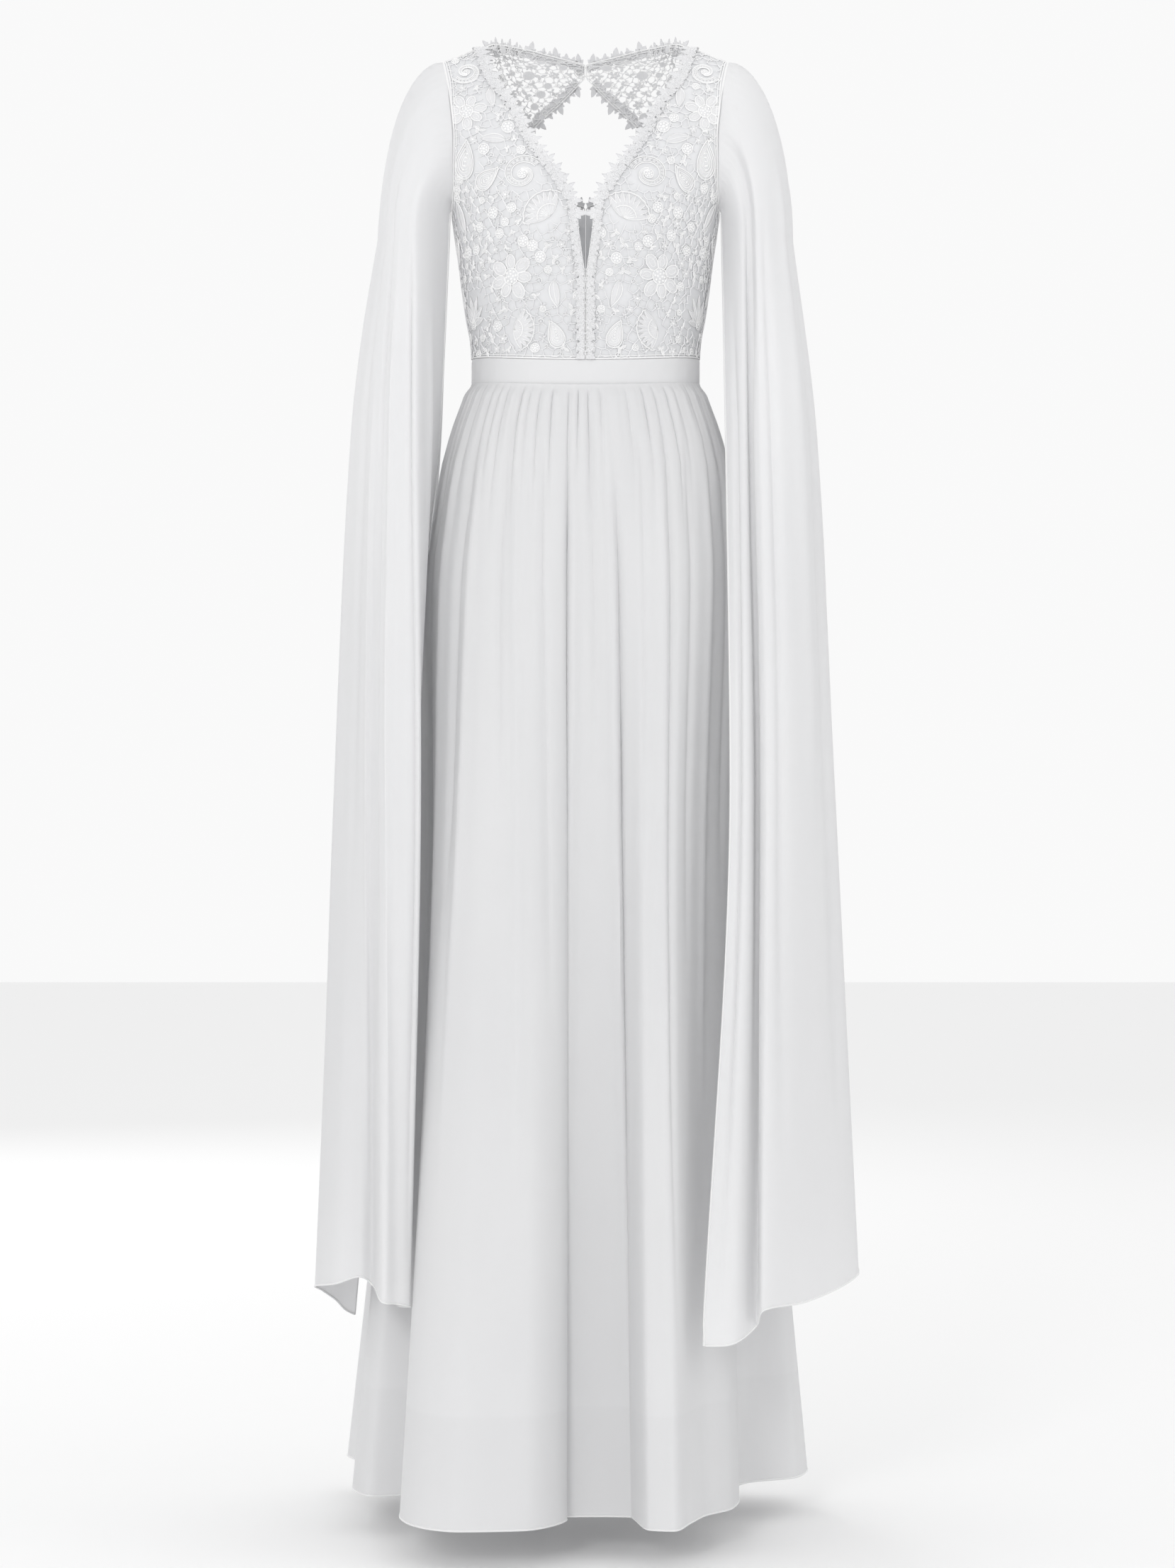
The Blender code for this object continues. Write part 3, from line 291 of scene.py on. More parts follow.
SKIRT_LINING = named_rows(
    LiningRow,
    (-0.34, 0.0, 0.1165, 0.0895, 0.08), (-0.352, 0.0, 0.1168, 0.0897, 0.0802),
    (-0.399, 0.0, 0.128, 0.099, 0.091), (-0.45, 0.0, 0.139, 0.107, 0.103), (-0.55, -0.002, 0.15, 0.111, 0.117),
    (-0.75, -0.006, 0.149, 0.111, 0.133), (-1.0, -0.01, 0.15, 0.11, 0.15),
    (LINING_HEM, -0.0135, 0.153, 0.108, 0.17),
)
LEFT_SLEEVE = named_rows(
    SleeveRow,
    (0.0, 0.141, -0.025, 0.1435, -0.066, 0.1465, -0.122, 0.117, -0.163, -1.326),
    (0.1, 0.158, -0.056, 0.16, -0.088, 0.164, -0.126, 0.148, -0.16, -1.324),
    (0.2, 0.17, -0.06, 0.174, -0.086, 0.18, -0.108, 0.172, -0.132, -1.31),
    (0.26, 0.175, -0.073, 0.1775, -0.104, 0.183, -0.132, 0.1787, -0.154, -1.2915),
    (0.36, 0.193, -0.06, 0.205, -0.092, 0.214, -0.114, 0.222, -0.114, -1.288),
    (0.44, 0.208, -0.032, 0.23, -0.052, 0.244, -0.064, 0.262, -0.06, -1.279),
    (0.5, 0.214, -0.004, 0.2395, -0.008, 0.2575, -0.01, 0.283, -0.008, -1.271),
    (0.58, 0.209, 0.026, 0.233, 0.034, 0.252, 0.04, 0.277, 0.052, -1.264),
    (0.68, 0.196, 0.05, 0.214, 0.072, 0.236, 0.088, 0.262, 0.112, -1.264),
    (0.82, 0.174, 0.064, 0.188, 0.098, 0.214, 0.122, 0.248, 0.16, -1.272),
    (1.0, 0.146, 0.022, 0.153, 0.085, 0.186, 0.14, 0.226, 0.192, -1.282),
)
RIGHT_SLEEVE = named_rows(
    SleeveRow,
    (0.0, 0.141, -0.025, 0.151, -0.022, 0.187, -0.03, 0.193, -0.052, -1.3),
    (0.12, 0.172, -0.066, 0.17, -0.098, 0.1665, -0.12, 0.1775, -0.103, -1.294),
    (0.2, 0.186, -0.064, 0.19, -0.098, 0.19, -0.122, 0.192, -0.113, -1.29),
    (0.27, 0.195, -0.058, 0.204, -0.09, 0.208, -0.114, 0.2065, -0.118, -1.287),
    (0.33, 0.2, -0.05, 0.212, -0.078, 0.216, -0.092, 0.2165, -0.062, -1.279),
    (0.39, 0.205, -0.042, 0.222, -0.064, 0.229, -0.08, 0.231, -0.066, -1.268),
    (0.44, 0.21, -0.025, 0.233, -0.04, 0.244, -0.052, 0.256, -0.058, -1.276),
    (0.5, 0.214, -0.004, 0.2395, -0.006, 0.2575, -0.008, 0.28, -0.01, -1.284),
    (0.58, 0.209, 0.026, 0.233, 0.034, 0.252, 0.04, 0.277, 0.05, -1.296),
    (0.68, 0.196, 0.05, 0.214, 0.072, 0.238, 0.09, 0.266, 0.1, -1.312),
    (0.82, 0.174, 0.064, 0.188, 0.098, 0.218, 0.124, 0.259, 0.146, -1.328),
    (1.0, 0.146, 0.022, 0.154, 0.085, 0.196, 0.142, 0.25, 0.178, -1.338),
)


class Curve:
    """A smooth curve through (place, value) pairs, which turns only at them unless it is rounded."""

    def __init__(self, pairs: Pairs, rounded: bool = False) -> None:
        """Works out the slope at each pair.

        Args:
            pairs: The places and values to go through.
            rounded: Whether the curve may swing past its pairs.
        """
        ordered = sorted(pairs)
        self.places = np.array([pair[0] for pair in ordered], float)
        self.values = np.array([pair[1] for pair in ordered], float)
        rises = np.diff(self.values) / np.diff(self.places)
        slopes = [rises[0]]
        for i, (before, after) in enumerate(zip(rises, rises[1:])):
            if rounded:
                run = self.places[i + 2] - self.places[i]
                slopes.append((self.values[i + 2] - self.values[i]) / run)
            else:
                slopes.append(0.0 if before * after <= 0.0 else 2.0 * before * after / (before + after))
        slopes.append(rises[-1])
        self.slopes = np.array(slopes)

    def __call__(self, place: Array | float) -> Array:
        """The curve's value at each place, held level past its ends."""
        spot = np.clip(place, self.places[0], self.places[-1])
        i = np.clip(np.searchsorted(self.places, spot) - 1, 0, len(self.places) - 2)
        step = self.places[i + 1] - self.places[i]
        t = (spot - self.places[i]) / step
        return (
            self.values[i] * (1.0 + 2.0 * t) * (1.0 - t) ** 2
            + self.values[i + 1] * t * t * (3.0 - 2.0 * t)
            + step * (self.slopes[i] * t * (1.0 - t) ** 2 + self.slopes[i + 1] * t * t * (t - 1.0))
        )


def column(rows: Sequence[NamedTuple], along: str, name: str, rounded: bool = False) -> Curve:
    """The curve of one named column of a table against another."""
    return Curve([(getattr(row, along), getattr(row, name)) for row in rows], rounded)


def round_column(rows: Sequence[NamedTuple], along: str, name: str) -> Curve:
    """As column, for a table that goes once round in degrees."""
    pairs = [(getattr(row, along), getattr(row, name)) for row in rows[:-1]]
    return Curve([(place + turn, value) for turn in (-360, 0, 360) for place, value in pairs])


def eased(low: float, high: float, place: Array) -> Array:
    """A soft step from 0 at low to 1 at high."""
    t = np.clip((place - low) / (high - low), 0.0, 1.0)
    return t * t * (3.0 - 2.0 * t)


def mix(a: Array, b: Array, t: Array) -> Array:
    """The value t of the way from a to b."""
    return a + (b - a) * t


def unit(vectors: Array) -> Array:
    """The vectors at length 1."""
    return vectors / np.maximum(np.linalg.norm(vectors, axis=-1, keepdims=True), 1e-12)


def stack(x: Array, y: Array, z: Array) -> Array:
    """Points from their coordinates, which may be of different shapes."""
    return np.stack(np.broadcast_arrays(x, y, z), axis=-1).astype(float)


def grid_normals(points: Array) -> Array:
    """The way each point of a grid faces, down its rows crossed with along them."""
    return unit(np.cross(np.gradient(points, axis=0), np.gradient(points, axis=1)))


def wobble(place: Array, seed: float) -> Array:
    """A slow uneven wave between about -1 and 1, the same each run."""
    return (
        np.sin(1.00 * place + 1.7 * seed)
        + 0.6 * np.sin(2.13 * place + 2.9 * seed + 0.8)
        + 0.4 * np.sin(4.37 * place + 0.6 * seed + 2.1)
    ) / 2.0


class MeshMaker:
    """Collects the points and faces of one piece."""

    def __init__(self) -> None:
        """Starts with nothing."""
        self.points: list[Array] = []
        self.faces: list[list[int]] = []
        self.slots: list[int] = []
        self.count = 0

    def add(self, points: Array, faces: Array, slot: int = 0) -> None:
        """Adds a block of points and its faces, counted from the block's first point."""
        flat = np.asarray(points, float).reshape(-1, 3)
        self.points.append(flat)
        self.faces.extend((np.asarray(faces) + self.count).tolist())
        self.slots.extend([slot] * len(faces))
        self.count += len(flat)

    def finished(self, name: str, finishes: Sequence["Finish"], angle: float = 50.0) -> Piece:
        """Makes the object of all that was added.

        Args:
            name: The piece's name.
            finishes: The finish of each material slot.
            angle: Faces that meet more sharply than this are shaded apart.

        Returns:
            The object, at the origin.
        """
        mesh = bpy.data.meshes.new(name)
        mesh.from_pydata(np.concatenate(self.points).tolist(), [], self.faces)
        mesh.polygons.foreach_set("material_index", self.slots)
        mesh.shade_smooth()
        mesh.set_sharp_from_angle(angle=math.radians(angle))
        for finish in finishes:
            mesh.materials.append(finish.material())
        mesh.update()
        thing = bpy.data.objects.new(name, mesh)
        bpy.context.scene.collection.objects.link(thing)
        return thing


def quad_grid(rows: int, columns: int, closed: bool = False) -> Array:
    """Quads over a grid of points, joined end to end along its rows where closed."""
    i, j = np.meshgrid(np.arange(rows - 1), np.arange(columns if closed else columns - 1), indexing="ij")
    after = (j + 1) % columns
    here, down = i * columns, (i + 1) * columns
    return np.stack([here + j, down + j, down + after, here + after], axis=-1).reshape(-1, 4)


def outward(points: Array, faces: Array, ways: Array) -> Array:
    """The faces, turned over if they face against these ways."""
    flat = points.reshape(-1, 3)
    corner = flat[faces[:, 0]]
    normal = np.cross(flat[faces[:, 1]] - corner, flat[faces[:, 2]] - corner)
    agree = np.sum(normal * ways.reshape(-1, 3)[faces[:, 0]])
    return faces if agree >= 0.0 else faces[:, ::-1]


def add_shell(maker: MeshMaker, points: Array, normals: Array, low: float, high: float, slot: int = 0) -> None:
    """A closed thin wall between two lifts over a grid of points."""
    rows, columns = points.shape[:2]
    inner = points + normals * low
    outer = points + normals * high
    count = rows * columns
    top = outward(points, quad_grid(rows, columns), normals)
    rim = list(range(columns))
    rim += [i * columns + columns - 1 for i in range(1, rows)]
    rim += [(rows - 1) * columns + j for j in range(columns - 2, -1, -1)]
    rim += [i * columns for i in range(rows - 2, 0, -1)]
    here, after = np.array(rim), np.roll(rim, -1)
    turned = top[0][0] == quad_grid(rows, columns)[0][0]
    band = np.stack([here, here + count, after + count, after], axis=-1)
    band = band if turned else band[:, ::-1]
    block = np.concatenate([inner.reshape(-1, 3), outer.reshape(-1, 3)])
    maker.add(block, np.concatenate([top[:, ::-1], top + count, band[:, ::-1]]), slot)


def add_tube(
    maker: MeshMaker, path: Array, radius: float | Array, sides: int = 6, closed: bool = False, slot: int = 0
) -> None:
    """A round cord along a path in space, with flat ends unless it is closed."""
    if closed:
        along = unit(np.roll(path, -1, axis=0) - np.roll(path, 1, axis=0))
    else:
        along = unit(np.gradient(path, axis=0))
    across = np.empty_like(path)
    guess = np.array([0.0, 0.0, 1.0]) if abs(along[0][2]) < 0.9 else np.array([1.0, 0.0, 0.0])
    for i, way in enumerate(along):
        guess = guess - way * np.dot(guess, way)
        guess = guess / np.linalg.norm(guess)
        across[i] = guess
    up = np.cross(along, across)
    turns = np.arange(sides) * 2.0 * np.pi / sides
    size = np.broadcast_to(np.asarray(radius, float), (len(path),))[:, None, None]
    ring = across[:, None] * np.cos(turns)[:, None] + up[:, None] * np.sin(turns)[:, None]
    points = path[:, None] + ring * size
    rows = np.concatenate([points, points[:1]]) if closed else points
    faces = quad_grid(len(rows), sides, closed=True)
    if closed:
        faces = faces % (len(path) * sides)
    faces = outward(points, faces, ring)
    maker.add(points, faces, slot)
    if not closed:
        last = (len(path) - 1) * sides
        caps = [list(range(sides)), list(range(last + sides - 1, last - 1, -1))]
        centre_face = np.cross(points[0][1] - points[0][0], points[0][2] - points[0][0])
        if np.dot(centre_face, along[0]) > 0.0:
            caps = [cap[::-1] for cap in caps]
        base = maker.count - len(points) * sides
        maker.faces.extend([[base + k for k in cap] for cap in caps])
        maker.slots.extend([slot] * 2)


def operator(operation: str, reflected: bool = False) -> Callable[["Socket", "Socket | float"], "Socket"]:
    """The operator that makes one Math node of a socket and another value, in turned order where reflected."""

    def apply(this: "Socket", other: "Socket | float") -> "Socket":
        """The node's result."""
        return this.maths(operation, *((other, this) if reflected else (this, other)))

    return apply


class Socket:
    """A shader value that takes part in sums written as Python expressions."""

    def __init__(self, shader: "Shader", link: bpy.types.NodeSocket) -> None:
        """Holds the socket and the material it belongs to."""
        self.shader = shader
        self.link = link

    def maths(self, operation: str, *values: "Socket | float") -> "Socket":
        """One Math node over these values."""
        inputs = {i: value for i, value in enumerate(values)}
        return self.shader.node("ShaderNodeMath", {"operation": operation}, inputs)

    __add__ = operator("ADD")
    __radd__ = operator("ADD", reflected=True)
    __sub__ = operator("SUBTRACT")
    __rsub__ = operator("SUBTRACT", reflected=True)
    __mul__ = operator("MULTIPLY")
    __rmul__ = operator("MULTIPLY", reflected=True)

    def sine(self) -> "Socket":
        """The sine of this."""
        return self.maths("SINE", self)

    def step(self, low: float, high: float) -> "Socket":
        """A soft step from 0 at low to 1 at high."""
        settings = {"interpolation_type": "SMOOTHSTEP", "clamp": True}
        return self.shader.node("ShaderNodeMapRange", settings, {"Value": self, "From Min": low, "From Max": high})


class Shader:
    """A node-based material, built node by node on the piece's own coordinates."""

    def __init__(self, name: str) -> None:
        """Starts a material with its surface shader and nothing else."""
        self.material = bpy.data.materials.new(name)
        self.material.use_nodes = True
        self.tree = self.material.node_tree
        self.surface = self.tree.nodes["Principled BSDF"]
        self.place = self.node("ShaderNodeTexCoord", {}, {}, "Object")

    def node(
        self, kind: str, settings: dict[str, object], inputs: dict[str | int, object], output: str | int = 0
    ) -> Socket:
        """Adds one node.

        Args:
            kind: The node's type.
            settings: Its properties, set first.
            inputs: Values or sockets by input name or number.
            output: Which output to hand back.

        Returns:
            That output.
        """
        made = self.tree.nodes.new(kind)
        for name, value in settings.items():
            setattr(made, name, value)
        for key, value in inputs.items():
            if isinstance(value, Socket):
                self.tree.links.new(value.link, made.inputs[key])
            else:
                made.inputs[key].default_value = value
        return Socket(self, made.outputs[output])

    def stretched(self, scale: tuple[float, float, float]) -> Socket:
        """Object coordinates, scaled along each axis."""
        return self.node("ShaderNodeMapping", {}, {"Vector": self.place, "Scale": scale})

    def noise(self, scale: float, detail: float = 2.0, where: Socket | None = None) -> Socket:
        """Soft noise about 0.5."""
        inputs = {"Vector": where or self.place, "Scale": scale, "Detail": detail}
        return self.node("ShaderNodeTexNoise", {}, inputs, "Fac")

    def axis(self, name: str) -> Socket:
        """One of the coordinates X, Y and Z."""
        return self.node("ShaderNodeSeparateXYZ", {}, {0: self.place}, name)

    def blend(self, factor: Socket, low: Sequence[float], high: Sequence[float]) -> Socket:
        """A colour from low to high."""
        inputs = {0: factor, 6: (*low, 1.0), 7: (*high, 1.0)}
        return self.node("ShaderNodeMix", {"data_type": "RGBA"}, inputs, 2)

    def feed(self, name: str, value: Socket | float | tuple[float, ...]) -> None:
        """Links or sets an input of the surface."""
        if isinstance(value, Socket):
            self.tree.links.new(value.link, self.surface.inputs[name])
        else:
            self.surface.inputs[name].default_value = value

    def let_through(self, share: float, colour: Sequence[float]) -> None:
        """Lets this share of the light through, scattered, as thin cloth does."""
        through = self.node("ShaderNodeBsdfTranslucent", {}, {"Color": (*colour, 1.0)})
        seen = Socket(self, self.surface.outputs[0])
        mixed = self.node("ShaderNodeMixShader", {}, {0: share, 1: seen, 2: through})
        self.tree.links.new(mixed.link, self.tree.nodes["Material Output"].inputs["Surface"])

    def bump(self, height: Socket, strength: float, distance: float, under: Socket | None = None) -> Socket:
        """A bump from this height, over another where one is given."""
        inputs: dict[str | int, object] = {"Height": height, "Strength": strength, "Distance": distance}
        if under is not None:
            inputs["Normal"] = under
        return self.node("ShaderNodeBump", {}, inputs)


@dataclass(frozen=True)
class Finish:
    """A cloth finish: its colour, sheen and weave.

    Args:
        name: The material's name.
        colour: The cloth's colour, seen square on.
        shade: The colour in its thicker or duller patches.
        roughness: How matte it is.
        sheen: How much light its fibres catch at an edge.
        thread: How far apart the threads of the weave lie.
        relief: How high the weave stands.
        slub: How strongly the threads vary along their length.
        sheer: The share of the light that the threads let through.
        lining_hem: The height below which the cloth has no lining behind it, if there is one; below it the colour is
            dimmed, a painted shade.
    """

    name: str
    colour: tuple[float, float, float]
    shade: tuple[float, float, float]
    roughness: float
    sheen: float
    thread: float
    relief: float
    slub: float = 0.3
    sheer: float = 0.0
    lining_hem: float | None = None

    def material(self) -> bpy.types.Material:
        """The finish's material, made on first use."""
        found = bpy.data.materials.get(self.name)
        return found or self._built()

    def _built(self) -> bpy.types.Material:
        """Builds the weave, the colour and the sheen."""
        shader = Shader(self.name)
        upright = (FULL_TURN / self.thread) * shader.axis("Z")
        wander = shader.noise(1.0 / (WANDER_THREADS * self.thread)) * WANDER_TURN
        angle = (FULL_TURN / self.thread) * (shader.axis("X") + shader.axis("Y"))
        weave = (upright + wander).sine() * WEAVE_SHARE + (angle + wander).sine() * WEAVE_SHARE
        slubs = shader.noise(0.5 / self.thread, 3.0, shader.stretched((1.0, 1.0, SLUB_FALL)))
        height = weave + self.slub * 3.0 * slubs
        patches = shader.noise(PATCH_SCALE, 3.0, shader.stretched((1.0, 1.0, PATCH_FALL)))
        tone = patches.step(*PATCH_STEP)
        colour = shader.blend(tone, self.shade, self.colour)
        # Below the lining's hem the colour is dimmed, a painted shade where the sheer cloth has no lining behind it
        if self.lining_hem is not None:
            lined = shader.axis("Z").step(self.lining_hem - 0.003, self.lining_hem + 0.002)
            inputs = {0: lined, 6: shader.blend(tone, *self._unlined_painted_shade()), 7: colour}
            colour = shader.node("ShaderNodeMix", {"data_type": "RGBA"}, inputs, 2)
        soft = shader.noise(CREASE_SCALE, 2.0, shader.stretched((1.0, 1.0, CREASE_FALL)))
        shader.feed("Base Color", colour)
        shader.feed("Roughness", self.roughness + DULLING * (slubs - 0.5))
        shader.feed("Sheen Weight", self.sheen)
        shader.feed("Sheen Roughness", FIBRE_SPREAD)
        shader.feed("Specular IOR Level", GLOSS)
        creases = shader.bump(soft, *CREASE_BUMP)
        shader.feed("Normal", shader.bump(height, WEAVE_BUMP, self.relief, creases))
        if self.sheer > 0.0:
            shader.let_through(self.sheer, self.colour)
        return shader.material

    def _unlined_painted_shade(self) -> tuple[tuple[float, ...], tuple[float, ...]]:
        """The shade and colour dimmed as painted shade where the sheer cloth has nothing behind it."""
        return tuple(UNLINED_PAINTED_SHADE * part for part in self.shade), tuple(UNLINED_PAINTED_SHADE * part for part in self.colour)


CHIFFON = Finish(
    "sheer_chiffon", (0.935, 0.935, 0.939), (0.905, 0.906, 0.912), 0.62, 0.35, 0.00055, 0.00006, 0.35, 0.45, LINING_HEM
)
SLEEVE_CHIFFON = Finish(
    "sleeve_chiffon", (0.945, 0.945, 0.949), (0.915, 0.916, 0.922), 0.62, 0.35, 0.00055, 0.00006, 0.35, 0.45
)
HEM_THREAD = Finish("rolled_hem", (0.800, 0.800, 0.800), (0.770, 0.770, 0.776), 0.58, 0.30, 0.00045, 0.00008, 0.5)
PLAIN_LINING = Finish(
    "plain_lining", (0.905, 0.908, 0.917), (0.880, 0.884, 0.896), 0.52, 0.15, 0.00040, 0.00004, 0.3, 0.30
)
BAND_CLOTH = Finish("band_cloth", (0.715, 0.715, 0.721), (0.690, 0.691, 0.699), 0.58, 0.30, 0.00050, 0.00006, 0.4)
# The lace is one white thread given three colours: its raised cords and knots lighter, a painted highlight, its
# filling darker, a painted shade, and its net between them
LACE_NET = Finish("lace_net", (0.850, 0.850, 0.856), (0.800, 0.800, 0.810), 0.75, 0.20, 0.00060, 0.00012, 0.6)
LACE_FILL_PAINTED_SHADE = Finish("lace_filling_painted_shade", (0.790, 0.790, 0.798), (0.730, 0.731, 0.744), 0.80, 0.20, 0.00070, 0.00022, 0.9)
LACE_CORD_PAINTED_HIGHLIGHT = Finish("lace_cord_painted_highlight", (0.930, 0.930, 0.928), (0.890, 0.889, 0.888), 0.68, 0.25, 0.00070, 0.00014, 0.5)
BUTTON_CLOTH = Finish("covered_button", (0.760, 0.760, 0.760), (0.735, 0.735, 0.740), 0.50, 0.25, 0.00045, 0.00005)


class TorsoForm:
    """The bodice's surface, worked out from the torso, neckline, keyhole and armhole tables."""

    NAPE_REACH = 0.060
    SIDE_REACH = 0.13

    def __init__(self) -> None:
        """Reads the tables into curves."""
        self.width = column(TORSO, "height", "half_width")
        self.front = column(TORSO, "height", "front")
        self.back = column(TORSO, "height", "back")
        self.nape = column(TORSO, "height", "nape")
        self.neckline = column(NECKLINE, "height", "reach")
        self.keyhole = column(KEYHOLE, "height", "reach")
        self.armhole = column(ARMHOLE, "height", "reach")
        self.collar = column(COLLAR, "reach", "height")

    def below_shoulder(self, reach: Array, height: Array) -> Array:
        """Height measured from the sloping shoulder seam."""
        near_top = eased(-0.14, -0.05, height)
        return height + SHOULDER_SLOPE * np.maximum(0.0, reach - NECK_POINT) * near_top

    def depth(self, side: Side, reach: Array, low: Array) -> Array:
        """How far the surface stands from the middle plane at the centre of its section."""
        if side is Side.FRONT:
            return self.front(low)
        return mix(self.nape(low), self.back(low), eased(self.NAPE_REACH, NECK_POINT, reach))

    def point(self, side: Side, angle: Array, height: Array) -> Array:
        """Points of the +X half; angle runs from the centre, 0, to the side seam, 90."""
        turn = np.radians(angle)
        reach = self.width(height) * np.sin(turn)
        low = self.below_shoulder(reach, height)
        reach = self.width(low) * np.sin(turn)
        depth = self.depth(side, reach, low) * np.cos(turn)
        if side is Side.FRONT:
            away = ((angle - CUP_ANGLE) / CUP_SPREAD) ** 2 + ((height - CUP_HEIGHT) / CUP_TALL) ** 2
            depth = depth * (1.0 + CUP_RISE * np.exp(-away))
        return stack(reach, side.value * depth, height)

    def angle_at(self, reach: Array, height: Array) -> Array:
        """The angle at which the surface reaches this far sideways."""
        low = self.below_shoulder(reach, height)
        return np.degrees(np.arcsin(np.minimum(reach / self.width(low), 1.0)))

    def side_seam(self, side: Side, height: Array) -> Array:
        """The angle of the side seam's edge."""
        return 90.0 - np.degrees(HALF_SEAM / self.depth(side, np.asarray(self.SIDE_REACH), height))

    def armhole_angle(self, side: Side, height: Array) -> Array:
        """Angle of the armhole's edge, or of the side seam below it."""
        seam = self.side_seam(side, height)
        edge = np.minimum(self.angle_at(self.armhole(height), height), seam)
        return np.where(height <= UNDERARM, seam, edge)

    def front_top(self, across: Array) -> tuple[Array, Array]:
        """Reach and height along the front panel's shoulder seam."""
        reach = mix(NECK_POINT, SHOULDER_POINT, across)
        return reach, -SHOULDER_SLOPE * (reach - NECK_POINT)

    def back_top(self, across: Array) -> tuple[Array, Array]:
        """Reach and height along the back panel's neck edge and shoulder seam."""
        neck_reach = mix(HALF_SEAM, NECK_POINT, across / NECK_PART)
        seam_reach = mix(NECK_POINT, SHOULDER_POINT, (across - NECK_PART) / (1.0 - NECK_PART))
        reach = np.where(across <= NECK_PART, neck_reach, seam_reach)
        seam_height = -SHOULDER_SLOPE * (reach - NECK_POINT)
        return reach, np.where(across <= NECK_PART, self.collar(reach), seam_height)

    def panel(self, side: Side, across: Array, down: Array) -> Array:
        """Points at a part across and down a bodice panel, blended from its four edges."""
        front = side is Side.FRONT
        bottom_inner = self.angle_at(np.asarray(HALF_SEAM), np.asarray(BAND_TOP_SIDE))
        bottom_outer = self.side_seam(side, np.asarray(BAND_TOP_SIDE))
        inner_top = 0.0 if front else NAPE_HEIGHT
        inner_bottom = BAND_TOP_SIDE - (FRONT_DIP if front else 0.0)
        inner_height = mix(inner_top, inner_bottom, down)
        inner_edge = (self.neckline if front else self.keyhole)(inner_height)
        inner_reach = np.maximum(inner_edge, HALF_SEAM)
        top_reach, top_height = (self.front_top if front else self.back_top)(across)
        outer_height = mix(-SHOULDER_DROP, BAND_TOP_SIDE, down)
        inner_angle = self.angle_at(inner_reach, inner_height)
        outer_angle = self.armhole_angle(side, outer_height)
        top_angle = self.angle_at(top_reach, top_height)
        top_inner = self.angle_at(np.asarray(NECK_POINT if front else HALF_SEAM), np.asarray(inner_top))
        top_outer = self.angle_at(np.asarray(SHOULDER_POINT), np.asarray(-SHOULDER_DROP))
        bottom_angle = mix(bottom_inner, bottom_outer, across)
        bottom_height = BAND_TOP_SIDE - (front_dip(bottom_angle) if front else 0.0)
        angle = (
            mix(top_angle, bottom_angle, down)
            + (1.0 - across) * (inner_angle - mix(top_inner, bottom_inner, down))
            + across * (outer_angle - mix(top_outer, bottom_outer, down))
        )
        height = (
            mix(top_height, bottom_height, down)
            + (1.0 - across) * (inner_height - mix(inner_top, inner_bottom, down))
            + across * (outer_height - mix(-SHOULDER_DROP, BAND_TOP_SIDE, down))
        )
        return self.point(side, angle, height)


def front_dip(angle: Array) -> Array:
    """How much lower the waist seam lies at this angle, 0 being the centre front."""
    return FRONT_DIP * np.maximum(0.0, np.cos(np.radians(angle))) ** 2


TORSO_FORM = TorsoForm()


